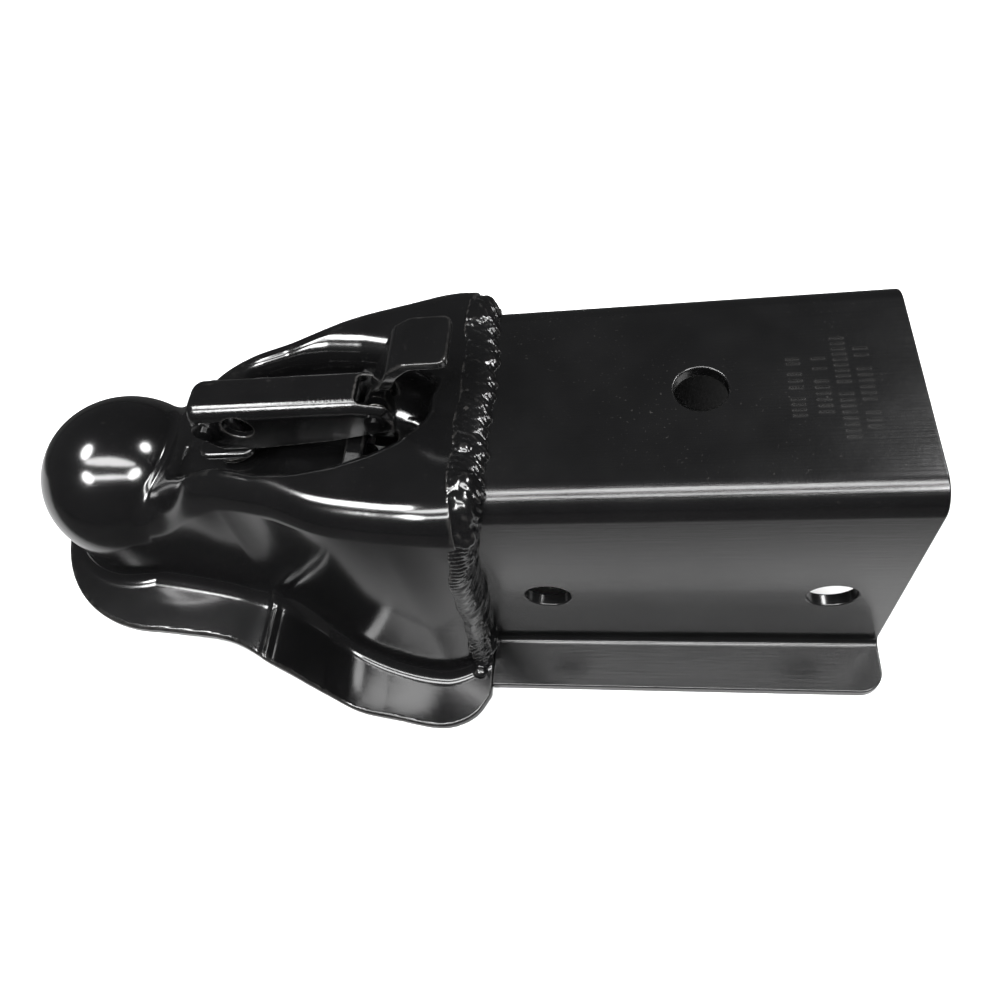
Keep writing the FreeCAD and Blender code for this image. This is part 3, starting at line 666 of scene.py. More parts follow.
@dataclass
class SocketHead:
    """The pressed head: domed socket, neck, latch trough, widening box and sloping foot."""

    plate: float = 4.76
    dome_radius: float = 34.56
    collar_place: float = 15.0
    collar_radius: float = 58.0
    floor: float = 20.0
    stud_hole: tuple[float, float] = (59.0, 5.6)
    drain: tuple[float, float, float] = (106.0, 122.0, 5.0)
    rim_round: float = 4.5
    far_round: float = 6.0
    pitch: float = 0.95
    seam: SeamLine = SeamLine()
    crown: Run = Run(STATIONS, (14.0, 20.5, 36.0, 42.6, 44.0, 45.0, 46.4, 48.0, 48.0))
    shoulder: Run = Run(STATIONS, (27.0, 29.0, 31.0, 32.0, 37.0, 45.3, 50.0, 52.8, 53.0))
    wall: Run = Run(STATIONS, (33.0, 37.0, 41.0, 45.0, 50.0, 57.0, 60.0, 53.0, 49.5))
    fold: Run = Run(STATIONS, (14.0, 14.0, 13.0, 12.0, 11.0, 10.0, 10.0, 11.0, 12.0))
    rim: Run = Run((15.0, 28.0, 44.0, 53.0, 62.0, 66.0, 74.0, 82.0, 94.0, 109.0, 126.0, 134.0, 142.0, 149.0, 156.0),
                   (58.0, 59.2, 61.0, 63.4, 67.6, 69.8, 72.4, 74.8, 78.8, 80.2, 82.0, 80.8, 76.0, 66.0, 64.5))
    foot: Run = Run((0.0, 50.0, 63.5, 68.5, 82.0, 104.0, 128.0, 156.0),
                    (-28.5, -28.2, -27.4, -32.0, -54.0, -67.0, -72.0, -72.0))
    leaf: tuple[tuple[float, float], ...] = ((34, 13), (46, 18.5), (60, 21), (70, 23), (80, 25.5), (96, 26),
                                             (110, 24), (122, 20.5), (132, 16), (141, 8))
    mouth: list[tuple[float, float]] = field(init=False)

    def __post_init__(self) -> None:
        """Rounds the outline of the latch trough."""
        right = [(x, half) for x, half in self.leaf]
        left = [(x, -half) for x, half in reversed(self.leaf)]
        self.mouth = rounded_outline(right + left, 7.0, 3)

    def _outside(self, x: Points, side: Points, z: Points) -> Points:
        """Distance to the outside of the dome and the body behind it.

        Args:
            x: Places along the part.
            side: Distance from the middle plane.
            z: Heights.

        Returns:
            The distances.
        """
        dome = np.sqrt(x * x + side * side + np.maximum(z, 0.0) ** 2) - self.dome_radius
        top = self.crown.at(x)
        low = self.foot.at(x)
        rise = np.clip((z - low) / (top - low), 0.0, 1.0)
        half = self.wall.at(x) + (self.shoulder.at(x) - self.wall.at(x)) * rise
        body = round_max(side - half, z - top, self.fold.at(x))
        return round_min(dome, np.maximum(body, -x), 2.5)

    def shape(self, x: Points, y: Points, z: Points) -> Points:
        """The head's distance field.

        Args:
            x: Places along the part.
            y: Places across it.
            z: Heights.

        Returns:
            The distances.
        """
        side = np.abs(y)
        slope = self.foot.at(x + 0.5) - self.foot.at(x - 0.5)
        above = (z - self.foot.at(x)) / np.sqrt(1 + slope ** 2)
        outside = self._outside(x, side, z)
        collar = np.hypot(x - self.collar_place, side) - self.collar_radius
        plan = np.where(x < self.collar_place, collar, side - self.rim.at(x))
        flange = round_max(plan, np.maximum(-above, above - self.plate), 1.3)
        far = np.clip(y / 10.0, 0.0, 1.0)
        recess = round_max(outline_distance(x, y, self.mouth), self.floor - z, 6.0 + self.far_round * far)
        rolled = self.rim_round + self.far_round * far
        solid = round_min(np.maximum(outside, -above), flange, 6.0)
        solid = round_max(solid, -recess, rolled)
        hollow = round_max(outside, -recess, rolled) + self.plate
        hollow = round_min(hollow, above, 7.0)
        sheet = round_max(solid, -hollow, 0.4)
        bore = np.hypot(x - self.stud_hole[0], y) - self.stud_hole[1]
        start, end, half = self.drain
        slot = round_max(np.abs(x - (start + end) / 2) - (end - start) / 2, side - half, 3.0)
        sheet = round_max(round_max(sheet, -bore, 0.6), -slot, 0.6)
        return round_max(sheet, x - self.seam.at(z), 0.8)

    def build(self, paint: bpy.types.Material) -> None:
        """Builds and dresses the head."""
        mesher = FieldMesher((-45.0, -84.5, -74.0), (157.0, 84.5, 50.5), self.pitch)
        head = mesher.mesh("pressed_head", self.shape, settle=4)
        settle_piece(head, "head", paint, ["socket_head"])


@dataclass
class WeldSeam:
    """The hand-laid weld between the head and the channel, with its ripples and blobs."""

    half: float = 43.66
    top: float = 44.0
    fold: float = 10.0
    low: float = -70.0
    ripple: float = 2.3
    pitch: float = 0.55
    seam: SeamLine = SeamLine()
    high: Run = Run((0.0, 30.0, 50.0, 66.0, 90.0, 152.0), (4.4, 4.6, 9.2, 11.0, 11.6, 13.4))
    wide: Run = Run((0.0, 30.0, 60.0, 90.0, 152.0), (9.6, 9.6, 7.0, 6.4, 6.6))
    lean: Run = Run((0.0, 34.0, 50.0, 70.0, 152.0), (0.0, 0.0, -1.6, -3.6, -5.4))
    blobs: tuple[tuple[float, float, float, float], ...] = (
        (-35.0, 3.6, 3.6, 3.4), (-41.0, 2.6, 4.6, 4.0), (-48.5, 4.6, 5.2, 2.8), (-55.0, 1.6, 6.6, 2.6),
        (-61.0, 4.2, 5.0, 2.2), (-22.0, 2.2, 3.2, 1.9), (8.0, 6.8, 1.0, 1.8), (33.0, 2.4, 3.2, 2.4),
        (43.0, 4.0, 4.6, 3.0), (-133.0, 3.4, 4.2, 2.2), (-139.0, 1.4, 5.8, 2.8), (-145.0, 3.2, 6.4, 3.4),
        (-149.5, 1.2, 11.0, 4.0), (-150.5, 0.2, 16.0, 3.4), (52.0, 3.0, 6.0, 2.6), (146.0, 2.4, 6.2, 3.6),
        (-103.0, 4.6, 3.4, 1.3), (-84.0, 1.0, 7.6, 1.4),
    )

    def _along(self, y: Points, z: Points) -> Points:
        """Signed way along the seam from the middle of the top.

        Args:
            y: Places across the part.
            z: Heights.

        Returns:
            The ways, negative on the near side.
        """
        flat = self.half - self.fold
        side = np.abs(y)
        out = np.maximum(side - flat, 0.0)
        up = np.maximum(z - (self.top - self.fold), 0.0)
        angle = np.arctan2(out, up)
        drop = np.where(side > flat * 0.6, np.maximum(self.top - self.fold - z, 0.0), 0.0)
        return np.sign(y) * (np.minimum(side, flat) + self.fold * angle + drop)

    def shape(self, x: Points, y: Points, z: Points) -> Points:
        """The weld's distance field.

        Args:
            x: Places along the part.
            y: Places across it.
            z: Heights.

        Returns:
            The distances.
        """
        way = self._along(y, z)
        lift = round_max(np.abs(y) - self.half, z - self.top, self.fold)
        wander = 0.5 * np.sin(way * 0.11 + 0.7) + 0.4 * np.sin(way * 0.31 + 2.1)
        across = x - self.seam.at(z) - wander - self.lean.at(np.abs(way))
        reach = np.abs(way)
        rough = (0.5 + 0.5 * np.sin(way * 0.045 + 1.2)) * np.sin(way * 0.83 + across * 0.9)
        grain = np.sin(way * 1.9 + across * 1.3) * np.sin(across * 2.1 - way * 0.7)
        wave = np.sin(2 * math.pi * (way / self.ripple + 0.035 * across ** 2))
        smooth = np.clip((reach - 66.0) / 10.0, 0.0, 1.0) * np.clip((128.0 - reach) / 8.0, 0.0, 1.0)
        coarse = 1.0 + 0.9 * np.exp(-((reach - 46.0) / 14.0) ** 2)
        texture = (0.05 * wave + 0.13 * rough + 0.035 * grain) * coarse * (1 - 0.94 * smooth)
        wide = self.wide.at(reach) + 0.4 * np.sin(way * 0.47) + 0.3 * np.sin(way * 1.3 + 1.0)
        round_part = np.sqrt((np.maximum(across, 0.0) / wide) ** 2 + (lift / self.high.at(reach)) ** 2)
        bead = (round_part - 1.0) * 4.0 - texture
        bead = np.maximum(round_max(bead, -across - 2.2, 0.8), -lift - 2.4)
        for centre, shift, height, size in self.blobs:
            blob = np.sqrt((way - centre) ** 2 + (across - shift) ** 2 + (lift - height) ** 2 * 1.4) - size
            bead = round_min(bead, np.maximum(blob, -lift - 2.4), 1.2)
        return round_max(bead, self.low - z, 1.5)

    def build(self, finish: bpy.types.Material) -> None:
        """Builds and dresses the weld."""
        mesher = FieldMesher((136.0, -66.0, -72.0), (168.0, 58.0, 53.0), self.pitch)
        seam = mesher.mesh("weld_seam", self.shape)
        settle_piece(seam, "head", finish, ["weld_bead_top", "weld_bead_left", "weld_bead_right"])


@dataclass
class TongueChannel:
    """The folded channel that the tongue slides into, with its lips, holes and plain size marks."""

    front: float = 147.0
    rear: float = 300.0
    plate: float = 4.76
    half: float = 43.66
    seam: SeamLine = SeamLine()
    top: float = 44.0
    base: float = -72.0
    fold: float = 10.0
    lip: float = 64.5
    lip_corner: float = 9.0
    bolt_radius: float = 8.73
    cross_bolts: tuple[float, ...] = (175.4, 277.0)
    cross_height: float = -24.0
    top_bolt: float = 232.4
    edge: float = 0.7
    mark_rows: tuple[tuple[float, tuple[tuple[float, float], ...]], ...] = (
        (261.8, ((-13.3, -5.0), (-2.8, 5.2), (7.4, 10.9))), (269.7, ((-12.5, 1.8), (4.6, 6.8), (8.8, 10.8))),
        (276.4, ((-22.0, -3.6), (-1.0, 19.0))), (283.0, ((-18.7, -11.0), (-8.2, 6.0), (9.0, 14.6))),
    )
    mark_depth: float = 0.55
    mark_tall: float = 4.4
    mark_wide: float = 0.84
    mark_step: float = 2.3

    def _bend(self, middle: tuple[float, float], radius: float, start: float, end: float,
              steps: int = 10) -> list[tuple[float, float]]:
        """Points on an arc of the section.

        Args:
            middle: Centre of the arc.
            radius: Its radius.
            start: First angle in degrees.
            end: Last angle in degrees.
            steps: Points, less one.

        Returns:
            The points.
        """
        turns = [math.radians(start + (end - start) * step / steps) for step in range(steps + 1)]
        return [(middle[0] + radius * math.cos(a), middle[1] + radius * math.sin(a)) for a in turns]

    def _section(self) -> list[tuple[float, float]]:
        """Closed section of the channel, across and up."""
        inner = self.half - self.plate
        shoulder = self.half - self.fold
        lip_top = self.base + self.plate
        small = 3.3
        wide = self.plate + small
        height = self.top - self.fold
        right = [(self.lip, self.base), (self.lip, lip_top)]
        right += self._bend((self.half + small, lip_top + small), small, 270, 180)
        right += self._bend((shoulder, height), self.fold, 0, 90)
        outer = right + [(-y, z) for y, z in reversed(right)]
        under = self._bend((inner + wide, self.base + wide), wide, 270, 180)
        under += self._bend((shoulder, height), self.fold - self.plate, 0, 90)
        return outer + [(-y, z) for y, z in under] + [(y, z) for y, z in reversed(under)]

    def _prism(self, name: str, outline: Sequence[tuple[float, float]],
               placed: Callable[[float, float, float], tuple[float, float, float]], low: float,
               high: float) -> bpy.types.Object:
        """A closed outline drawn out to a solid.

        Args:
            name: Name of the object.
            outline: The outline.
            placed: Turns two coordinates of the outline and one along it into a point.
            low: Start of the solid.
            high: End of the solid.

        Returns:
            The new object.
        """
        mesh = bmesh.new()
        ends = [[mesh.verts.new(Vector(placed(u, v, w)) * MM) for u, v in outline] for w in (low, high)]
        mesh.faces.new(ends[0])
        mesh.faces.new(reversed(ends[1]))
        count = len(outline)
        for index in range(count):
            after = (index + 1) % count
            mesh.faces.new((ends[0][after], ends[0][index], ends[1][index], ends[1][after]))
        bmesh.ops.recalc_face_normals(mesh, faces=mesh.faces)
        data = bpy.data.meshes.new(name)
        mesh.to_mesh(data)
        mesh.free()
        solid = bpy.data.objects.new(name, data)
        bpy.context.scene.collection.objects.link(solid)
        return solid

    @staticmethod
    def _applied(piece: bpy.types.Object) -> None:
        """Bakes a piece's modifiers into its mesh."""
        graph = bpy.context.evaluated_depsgraph_get()
        data = bpy.data.meshes.new_from_object(piece.evaluated_get(graph), depsgraph=graph)
        piece.modifiers.clear()
        piece.data = data

    def _cut(self, piece: bpy.types.Object, tools: Sequence[bpy.types.Object]) -> None:
        """Takes the tools' space out of the piece and removes the tools.

        Args:
            piece: The piece to cut.
            tools: Closed solids.
        """
        group = bpy.data.collections.new("cutters")
        for tool in tools:
            group.objects.link(tool)
        cut = piece.modifiers.new("cut", "BOOLEAN")
        cut.operation = "DIFFERENCE"
        cut.solver = "EXACT"
        cut.operand_type = "COLLECTION"
        cut.collection = group
        self._applied(piece)
        for tool in tools:
            bpy.data.objects.remove(tool)
        bpy.data.collections.remove(group)

    def _hole_tools(self) -> list[bpy.types.Object]:
        """Solids for the bolt holes and the lips' rounded rear corners."""
        ring = self._bend((0.0, 0.0), self.bolt_radius, 0, 360, 72)[:-1]
        tools = []
        for place in self.cross_bolts:
            tools.append(self._prism("cross_tool", ring, lambda u, v, w, x=place: (x + u, w, self.cross_height + v),
                                     -70, 70))
        tools.append(self._prism("top_tool", ring, lambda u, v, w: (self.top_bolt + u, v, w), 20, 60))
        seam = self.seam
        wedge = [(seam.toe - 5, seam.base - 1), (seam.toe, seam.base), (seam.place, seam.corner),
                 (seam.place, self.top + 3), (seam.toe - 5, self.top + 3)]
        tools.append(self._prism("front_tool", wedge, lambda u, v, w: (u, w, v), -70, 70))
        corner = [(self.rear + 5, self.lip + 5), (self.rear + 5, self.lip - self.lip_corner)]
        arc = self._bend((self.rear - self.lip_corner, self.lip - self.lip_corner), self.lip_corner, 0, 90)
        corner += arc + [(self.rear - self.lip_corner, self.lip + 5)]
        for side in (-1, 1):
            tools.append(self._prism("corner_tool", corner, lambda u, v, w, s=side: (u, v * s, w),
                                     self.base - 5, self.base + self.plate + 2))
        return tools

    def _mark_tools(self) -> list[bpy.types.Object]:
        """Small solids for rows of plain strokes on the rear of the top."""
        tools = []
        tall = self.mark_tall / 2
        wide = self.mark_wide / 2
        for row, groups in self.mark_rows:
            for start, end in groups:
                count = max(1, round((end - start) / self.mark_step))
                for number in range(count):
                    middle = start + (end - start) * (number + 0.5) / count
                    bar = rounded_outline([(row - tall, middle - wide), (row + tall, middle - wide),
                                           (row + tall, middle + wide), (row - tall, middle + wide)], 0.4, 3)
                    tools.append(self._prism("mark_tool", bar, lambda u, v, w: (u, v, w),
                                             self.top - self.mark_depth, self.top + 1))
        return tools

    def build(self, paint: bpy.types.Material) -> None:
        """Builds and dresses the channel."""
        section = self._section()
        channel = self._prism("tongue_sleeve", section, lambda u, v, w: (w, u, v), self.front, self.rear)
        self._cut(channel, self._hole_tools())
        bevel = channel.modifiers.new("edges", "BEVEL")
        bevel.width = self.edge * MM
        bevel.segments = 3
        bevel.limit_method = "ANGLE"
        bevel.angle_limit = math.radians(40)
        self._applied(channel)
        self._cut(channel, self._mark_tools())
        channel.data.polygons.foreach_set("use_smooth", [True] * len(channel.data.polygons))
        weighted = channel.modifiers.new("normals", "WEIGHTED_NORMAL")
        weighted.keep_sharp = True
        channel.data.set_sharp_from_angle(angle=math.radians(35))
        self._applied(channel)
        settle_piece(channel, "head", paint, ["tongue_channel"])


# ------------------------------------------------------------------ latch

@dataclass
class LatchLever:
    """The upturned lever with its round nose, padlock hole and open rear."""

    half: float = 9.0
    wall: float = 2.8
    side_corners: tuple[tuple[float, float], ...] = (
        (51.0, 54.0), (117.0, 54.0), (129.0, 51.0), (129.0, 39.7), (104.0, 34.7), (75.0, 31.7),
        (60.0, 31.7), (51.0, 40.7),
    )
    side_radii: tuple[float, ...] = (7.5, 6.0, 4.0, 4.0, 20.0, 20.0, 3.0, 3.0)
    nose: tuple[float, float] = (51.0, 6.5)
    hollow_corners: tuple[tuple[float, float], ...] = (
        (46.0, 49.2), (54.6, 49.2), (56.5, 51.2), (117.1, 51.2), (117.1, 57.0), (134.0, 57.0),
        (134.0, 26.7), (46.0, 26.7),
    )
    lock_hole: tuple[float, float, float] = (71.5, 45.0, 5.6)
    pin_holes: tuple[tuple[float, float, float], ...] = ((59.0, 44.5, 2.75), (123.0, 46.0, 1.9))
    pitch: float = 0.5

    def shape(self, x: Points, y: Points, z: Points) -> Points:
        """The lever's distance field.

        Args:
            x: Places along the part.
            y: Places across it.
            z: Heights.

        Returns:
            The distances.
        """
        side = np.abs(y)
        edge = 0.6 + 4.6 * np.clip((z - 44.0) / 4.0, 0.0, 1.0)
        blank = outline_distance(x, z, rounded_outline(self.side_corners, self.side_radii))
        plan = round_max(self.nose[0] - x, side - self.half, self.nose[1])
        blank = round_max(blank, plan, edge)
        hollow = round_max(outline_distance(x, z, self.hollow_corners), side - self.half + self.wall, 2.4)
        lever = round_max(blank, -hollow, 0.5)
        for px, pz, radius in (self.lock_hole, *self.pin_holes):
            lever = round_max(lever, radius - np.hypot(x - px, z - pz), 0.4)
        return lever

    def build(self, paint: bpy.types.Material) -> None:
        """Builds and dresses the lever."""
        mesher = FieldMesher((49.0, -10.5, 29.0), (131.0, 10.5, 56.0), self.pitch)
        settle_piece(mesher.mesh("lever_shell", self.shape), "lever", paint, ["latch_lever"])


@dataclass
class FingerTrigger:
    """The sprung trigger: a hooked stem that widens to a curled finger tab."""

    pin: tuple[float, float] = (123.0, 46.0)
    side_corners: tuple[tuple[float, float], ...] = (
        (32.5, 30.0), (18.0, 30.0), (12.0, 26.5), (-1.0, 7.5), (-4.4, 2.0), (-4.4, -13.5), (-8.4, -15.0),
        (-8.4, -18.5), (1.0, -18.5), (4.4, -3.0), (4.4, 6.0), (15.0, 23.5), (19.5, 27.0), (32.5, 27.0),
    )
    side_radii: tuple[float, ...] = (1.2, 8.0, 8.0, 6.0, 6.0, 1.0, 0.6, 1.0, 4.0, 8.0, 8.0, 5.0, 5.0, 1.2)
    spread: Run = Run((30.0, 54.6, 59.0, 66.0, 76.0), (2.9, 2.9, 6.4, 9.6, 10.0))
    tab_end: float = 32.5
    tab_corner: float = 3.5
    bore: float = 1.96
    pitch: float = 0.5

    def shape(self, x: Points, y: Points, z: Points) -> Points:
        """The trigger's distance field.

        Args:
            x: Places along the part.
            y: Places across it.
            z: Heights.

        Returns:
            The distances.
        """
        u = x - self.pin[0]
        v = z - self.pin[1]
        strip = outline_distance(u, v, rounded_outline(self.side_corners, self.side_radii))
        plan = round_max(u - self.tab_end, np.abs(y) - self.spread.at(z), self.tab_corner)
        trigger = round_max(strip, plan, 0.7)
        return round_max(trigger, self.bore - np.hypot(u, v), 0.3)

    def build(self, paint: bpy.types.Material) -> None:
        """Builds and dresses the trigger."""
        mesher = FieldMesher((112.0, -11.5, 25.0), (158.0, 11.5, 78.0), self.pitch)
        settle_piece(mesher.mesh("trigger_strip", self.shape), "trigger", paint,
                     ["finger_trigger"])


@dataclass
class BallClamp:
    """The rocking jaw that holds the ball from behind and below."""

    half: float = 14.0
    ball: float = 29.77
    side_corners: tuple[tuple[float, float], ...] = (
        (14.0, -19.0), (22.0, -12.0), (40.0, -9.0), (84.0, 0.0), (98.0, 2.0), (105.0, -2.0), (105.0, -12.0),
        (88.0, -16.0), (72.0, -26.0), (44.0, -26.0), (24.0, -28.0), (14.0, -28.0),
    )
    slot: tuple[float, float, float] = (50.0, 68.0, 5.8)
    bore: tuple[float, float, float] = (98.0, -6.0, 4.06)
    pitch: float = 0.7

    def shape(self, x: Points, y: Points, z: Points) -> Points:
        """The jaw's distance field.

        Args:
            x: Places along the part.
            y: Places across it.
            z: Heights.

        Returns:
            The distances.
        """
        side = np.abs(y)
        jaw = outline_distance(x, z, rounded_outline(self.side_corners, 3.5))
        jaw = round_max(jaw, side - self.half, 1.6)
        start, end, half = self.slot
        slot = round_max(np.abs(x - (start + end) / 2) - (end - start) / 2, side - half, 2.0)
        jaw = round_max(jaw, -slot, 0.8)
        jaw = round_max(jaw, self.bore[2] - np.hypot(x - self.bore[0], z - self.bore[1]), 0.4)
        return round_max(jaw, self.ball - np.sqrt(x * x + y * y + z * z), 0.8)

    def build(self, paint: bpy.types.Material) -> None:
        """Builds and dresses the jaw."""
        mesher = FieldMesher((11.0, -16.0, -31.0), (108.0, 16.0, 5.0), self.pitch)
        settle_piece(mesher.mesh("clamp_jaw", self.shape), "clamp", paint, ["ball_clamp"])


@dataclass
class TroughPlates:
    """The pressed saddle under the lever's cam and the strap that keeps the trigger's hook."""

    saddle: tuple[float, float, float] = (60.0, 11.0, 11.0)
    saddle_height: tuple[float, float] = (28.2, 31.2)
    bore: tuple[float, float] = (59.0, 5.6)
    strap: tuple[float, float, float] = (110.5, 3.5, 24.0)
    strap_height: tuple[float, float] = (27.5, 31.5)

    def _saddle(self, x: Points, y: Points, z: Points) -> Points:
        """Distance field of the saddle."""
        low, high = self.saddle_height
        plan = round_max(np.abs(x - self.saddle[0]) - self.saddle[1], np.abs(y) - self.saddle[2], 4.0)
        plate = round_max(plan, np.abs(z - (low + high) / 2) - (high - low) / 2, 1.0)
        return round_max(plate, self.bore[1] - np.hypot(x - self.bore[0], y), 0.5)

    def _strap(self, x: Points, y: Points, z: Points) -> Points:
        """Distance field of the strap."""
        low, high = self.strap_height
        plan = np.maximum(np.abs(x - self.strap[0]) - self.strap[1], np.abs(y) - self.strap[2])
        return round_max(plan, np.abs(z - (low + high) / 2) - (high - low) / 2, 1.0)

    def build(self, paint: bpy.types.Material) -> None:
        """Builds and dresses both plates."""
        mesher = FieldMesher((47.0, -13.0, 26.0), (73.0, 13.0, 33.0), 0.5)
        settle_piece(mesher.mesh("saddle_plate", self._saddle), "head", paint, ["cam_saddle"])
        mesher = FieldMesher((105.0, -26.0, 26.0), (116.0, 26.0, 33.0), 0.5)
        settle_piece(mesher.mesh("keeper_bar", self._strap), "head", paint, ["keeper_strap"])


@dataclass
class StudSet:
    """The eye bolt with its rolled thread, and the lock nut below the clamp."""

    place: float = 59.0
    height: float = 44.5
    eye: float = 5.3
    eye_half: float = 5.9
    bore: float = 2.81
    shank: float = 5.0
    low: float = -44.0
    thread_top: float = -4.0
    thread_pitch: float = 1.5
    thread_depth: float = 0.75
    nut: tuple[float, float, float] = (-37.3, -29.3, 8.5)

    def _stud(self, x: Points, y: Points, z: Points) -> Points:
        """Distance field of the eye bolt."""
        u = x - self.place
        eye = round_max(np.hypot(u, z - self.height) - self.eye, np.abs(y) - self.eye_half, 0.8)
        turn = np.arctan2(y, u) / (2 * math.pi)
        saw = np.abs(((z / self.thread_pitch - turn) % 1.0) - 0.5) * 2
        cut = self.thread_depth * saw * np.clip((self.thread_top - z) / 2.0, 0.0, 1.0)
        rod = round_max(np.hypot(u, y) - self.shank + cut, np.maximum(z - self.height, self.low - z), 0.8)
        stud = round_min(eye, rod, 1.5)
        return round_max(stud, self.bore - np.hypot(u, z - self.height), 0.3)

    def _nut(self, x: Points, y: Points, z: Points) -> Points:
        """Distance field of the chamfered hexagon."""
        u = x - self.place
        low, high, half = self.nut
        hexagon = np.maximum(np.abs(u) * 0.5 + np.abs(y) * math.sqrt(0.75), np.abs(u)) - half
        middle = (low + high) / 2
        reach = np.hypot(u, y)
        chamfer = (reach + np.abs(z - middle) * 1.7) * 0.5 - (half * 1.04 + (high - low) * 0.85) * 0.5
        body = round_max(round_max(hexagon, np.abs(z - middle) - (high - low) / 2, 0.3), chamfer, 0.3)
        return np.maximum(body, self.shank + 0.05 - reach)

    def build(self, steel: bpy.types.Material) -> None:
        """Builds and dresses the eye bolt and the nut."""
        mesher = FieldMesher((52.0, -7.5, -46.0), (66.0, 7.5, 52.0), 0.32)
        settle_piece(mesher.mesh("eye_bolt", self._stud), "stud", steel, ["latch_stud"])
        mesher = FieldMesher((47.0, -12.0, -39.0), (71.0, 12.0, -28.0), 0.45)
        settle_piece(mesher.mesh("flat_lock_nut", self._nut), "stud", steel, ["lock_nut"])


# ------------------------------------------------------------------ carried-over parts and studio

@dataclass
class SmallParts:
    """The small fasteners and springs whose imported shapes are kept."""

    zinc: tuple[str, ...] = ("clamp_washer", "clamp_fulcrum_pin")
    painted: tuple[str, ...] = ("pivot_pin_clips", "trigger_pin_clips", "trigger_pin", "lever_pivot_pin")
    springs: tuple[str, ...] = ("stud_spring", "trigger_spring")
    nylon: tuple[str, ...] = ("lock_nut_insert",)

    def dress(self, nodes: dict[str, bpy.types.Object], finishes: dict[str, bpy.types.Material]) -> None:
        """Gives each kept node its finish.

        Args:
            nodes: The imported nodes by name.
            finishes: Materials by slot name.
        """
        for slot, names in (("zinc_steel", self.zinc), ("pins", self.painted),
                            ("spring_steel", self.springs), ("nylon", self.nylon)):
            for name in names:
                node = nodes[name]
                node.data.materials.clear()
                node.data.materials.append(finishes[slot])
                LOG.info("%s: packed shape, %s", name, slot)


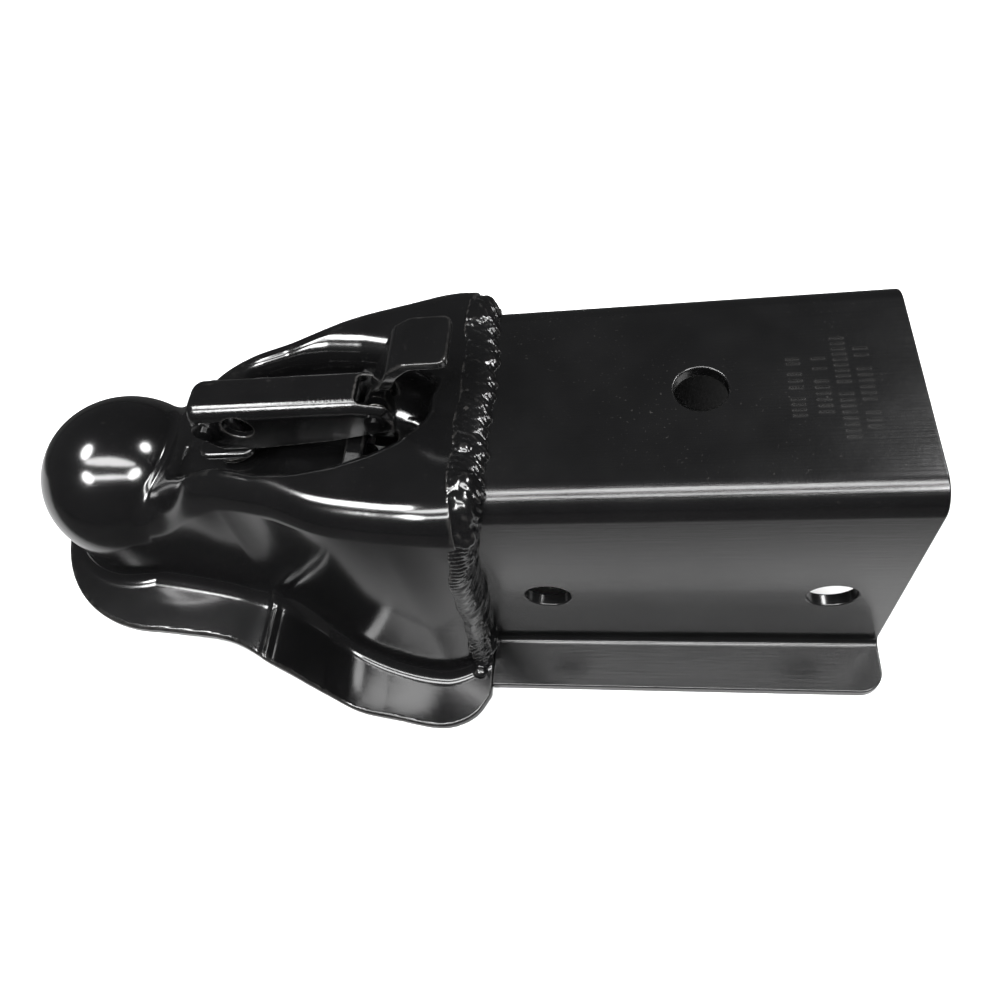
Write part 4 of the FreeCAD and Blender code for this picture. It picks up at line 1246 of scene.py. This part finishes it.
@dataclass
class Studio:
    """A pale floor, soft lights and the camera."""

    floor_height: float = -72.2
    floor_half: float = 3000.0
    azimuth: float = 19.32
    elevation: float = 55.28
    roll: float = -18.04
    camera_place: tuple[float, float, float] = (217.54, -164.31, 262.81)
    lens: float = 29.36
    shift: float = -0.05
    lights: tuple[tuple[str, float, float, float, tuple[float, float], float], ...] = (
        ("window_left", 176.0, 58.0, 1.5, (0.45, 0.35), 13.0),
        ("window_front", -135.0, 50.0, 1.5, (0.45, 0.30), 11.0),
        ("window_right", 30.0, 50.0, 1.5, (0.40, 0.35), 11.0),
        ("window_near", -35.0, 50.0, 1.5, (0.50, 0.35), 12.0),
        ("strip_high", -90.0, 79.0, 1.5, (1.9, 0.30), 24.0),
        ("strip_low", -90.0, 59.0, 1.5, (1.9, 0.16), 15.0),
    )

    def _floor(self) -> None:
        """A wide pale floor which, in the gloss of the paint, shows a painted reflection: mid grey near the part
        and painted dark shade further out across.
        """
        mesh = bmesh.new()
        half = self.floor_half
        corners = [(-half, -half), (half, -half), (half, half), (-half, half)]
        mesh.faces.new([mesh.verts.new(Vector((x, y, self.floor_height)) * MM) for x, y in corners])
        data = bpy.data.meshes.new("studio_floor")
        mesh.to_mesh(data)
        mesh.free()
        floor = bpy.data.objects.new("studio_floor", data)
        bpy.context.scene.collection.objects.link(floor)
        material = bpy.data.materials.new("floor_paper")
        material.use_nodes = True
        bench = NodeBench(material.node_tree)
        place = bench.add("ShaderNodeTexCoord").outputs["Object"]
        tone = bench.band(bench.noise(3.0, 2.0, place), 0.3, 0.7)
        paper = bench.blend(tone, (0.9, 0.9, 0.895, 1.0), (0.93, 0.93, 0.925, 1.0))
        # Painted reflection: glossy rays see this floor as mid grey near the part and as painted dark shade beyond
        # a band across, for dark surroundings that are not there.
        aside = bench.math("ABSOLUTE", bench.add("ShaderNodeSeparateXYZ", {0: place}).outputs[1], 0.0)
        painted_shade_falloff = bench.band(aside, 0.074, 0.112)
        seen = bench.blend(painted_shade_falloff, (0.36, 0.36, 0.36, 1.0), (0.03, 0.03, 0.03, 1.0))
        ray = bench.add("ShaderNodeLightPath").outputs
        colour = bench.blend(ray["Is Glossy Ray"], paper, seen)
        away = bench.add("ShaderNodeVectorMath", {0: place}, operation="LENGTH").outputs["Value"]
        glow = bench.math("MULTIPLY", bench.band(away, 0.6, 1.8, 0.0, 0.9), ray["Is Camera Ray"])
        shader = bench.add("ShaderNodeBsdfPrincipled", {
            "Base Color": colour, "Roughness": 0.9, "Specular IOR Level": 0.1,
            "Emission Color": (1.0, 1.0, 0.995, 1.0), "Emission Strength": glow,
        })
        bench.add("ShaderNodeOutputMaterial", {"Surface": shader.outputs[0]})
        floor.data.materials.append(material)
        floor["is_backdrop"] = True

    def _world(self) -> None:
        """An even, weak sky that looks pale behind the floor."""
        world = bpy.data.worlds.new("studio_air")
        world.use_nodes = True
        bench = NodeBench(world.node_tree)
        seen = bench.add("ShaderNodeLightPath").outputs["Is Camera Ray"]
        strength = bench.band(seen, 0.0, 1.0, 0.055, 0.95)
        sky = bench.add("ShaderNodeBackground", {"Color": (0.97, 0.98, 1.0, 1.0), "Strength": strength})
        bench.add("ShaderNodeOutputWorld", {"Surface": sky.outputs[0]})
        bpy.context.scene.world = world

    def _lamps(self, middle: Vector) -> None:
        """Soft lamps round the part.

        Args:
            middle: The point that they look at, in metres.
        """
        for name, azimuth, height, far, (wide, tall), power in self.lights:
            turn, rise = math.radians(azimuth), math.radians(height)
            direction = Vector((math.cos(turn) * math.cos(rise), math.sin(turn) * math.cos(rise),
                                math.sin(rise)))
            lamp = bpy.data.lights.new(name, "AREA")
            lamp.shape = "ELLIPSE"
            lamp.size = wide
            lamp.size_y = tall
            lamp.energy = power
            holder = bpy.data.objects.new(name, lamp)
            holder.location = middle + direction * far
            holder.rotation_euler = (-direction).to_track_quat("-Z", "Y").to_euler()
            bpy.context.scene.collection.objects.link(holder)

    def _camera(self) -> None:
        """The camera, rolled a little as it is held by hand."""
        side, rise, roll = (math.radians(v) for v in (self.azimuth, self.elevation, self.roll))
        back = Vector((math.sin(side) * math.cos(rise), -math.cos(side) * math.cos(rise), math.sin(rise)))
        right = (-back).cross(Vector((0, 0, 1))).normalized()
        up = right.cross(-back)
        rolled = right * math.cos(roll) + up * math.sin(roll)
        upright = up * math.cos(roll) - right * math.sin(roll)
        lens = bpy.data.cameras.new("view_camera")
        lens.lens = self.lens
        lens.sensor_width = 36.0
        lens.shift_y = self.shift
        lens.clip_start = 0.01
        camera = bpy.data.objects.new("view_camera", lens)
        turn = Matrix((rolled, upright, back)).transposed().to_4x4()
        camera.matrix_world = Matrix.Translation(Vector(self.camera_place) * MM) @ turn
        bpy.context.scene.collection.objects.link(camera)
        bpy.context.scene.camera = camera

    def build(self) -> None:
        """Sets up the floor, the air, the lamps, the plain tone curve and the camera."""
        low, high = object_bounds()
        self._floor()
        self._world()
        self._lamps((Vector(low) + Vector(high)) / 2)
        self._camera()
        bpy.context.scene.view_settings.view_transform = "Standard"


def main() -> None:
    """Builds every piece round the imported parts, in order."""
    logging.basicConfig(level=logging.INFO, format="%(name)s %(message)s", force=True)
    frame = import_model()
    effects = Effects()
    finishes = {
        "black_paint": PaintFinish("gloss_black_paint").make(effects),
        "channel": PaintFinish("rolled_black_paint", lines=0.35, gloss=0.22, peel=0.4,
                               flat_faces=True).make(effects),
        "lever": PaintFinish("filed_black_paint", lines=0.8, lines_along=Axis.ACROSS, wear=0.2).make(effects),
        "weld": PaintFinish("painted_weld", gloss=0.17, peel=0.6, grain=700.0, wear=0.15).make(effects),
        "pins": PaintFinish("dark_pin_paint", wear=0.0, flat_faces=True).make(effects),
        "zinc_steel": MetalFinish("dull_zinc", (0.2, 0.2, 0.2), 0.35).make(effects),
        "spring_steel": MetalFinish("oiled_spring", (0.06, 0.058, 0.055), 0.3).make(effects),
        "nylon": MetalFinish("nut_nylon", (0.5, 0.5, 0.46), 0.45, metallic=0.0, lines=0.1).make(effects),
    }
    SocketHead().build(finishes["black_paint"])
    TongueChannel().build(finishes["channel"])
    WeldSeam().build(finishes["weld"])
    LatchLever().build(finishes["lever"])
    FingerTrigger().build(finishes["black_paint"])
    BallClamp().build(finishes["black_paint"])
    TroughPlates().build(finishes["black_paint"])
    StudSet().build(finishes["zinc_steel"])
    SmallParts().dress(frame["nodes"], finishes)
    Studio().build()


if __name__ == "__main__":
    main()
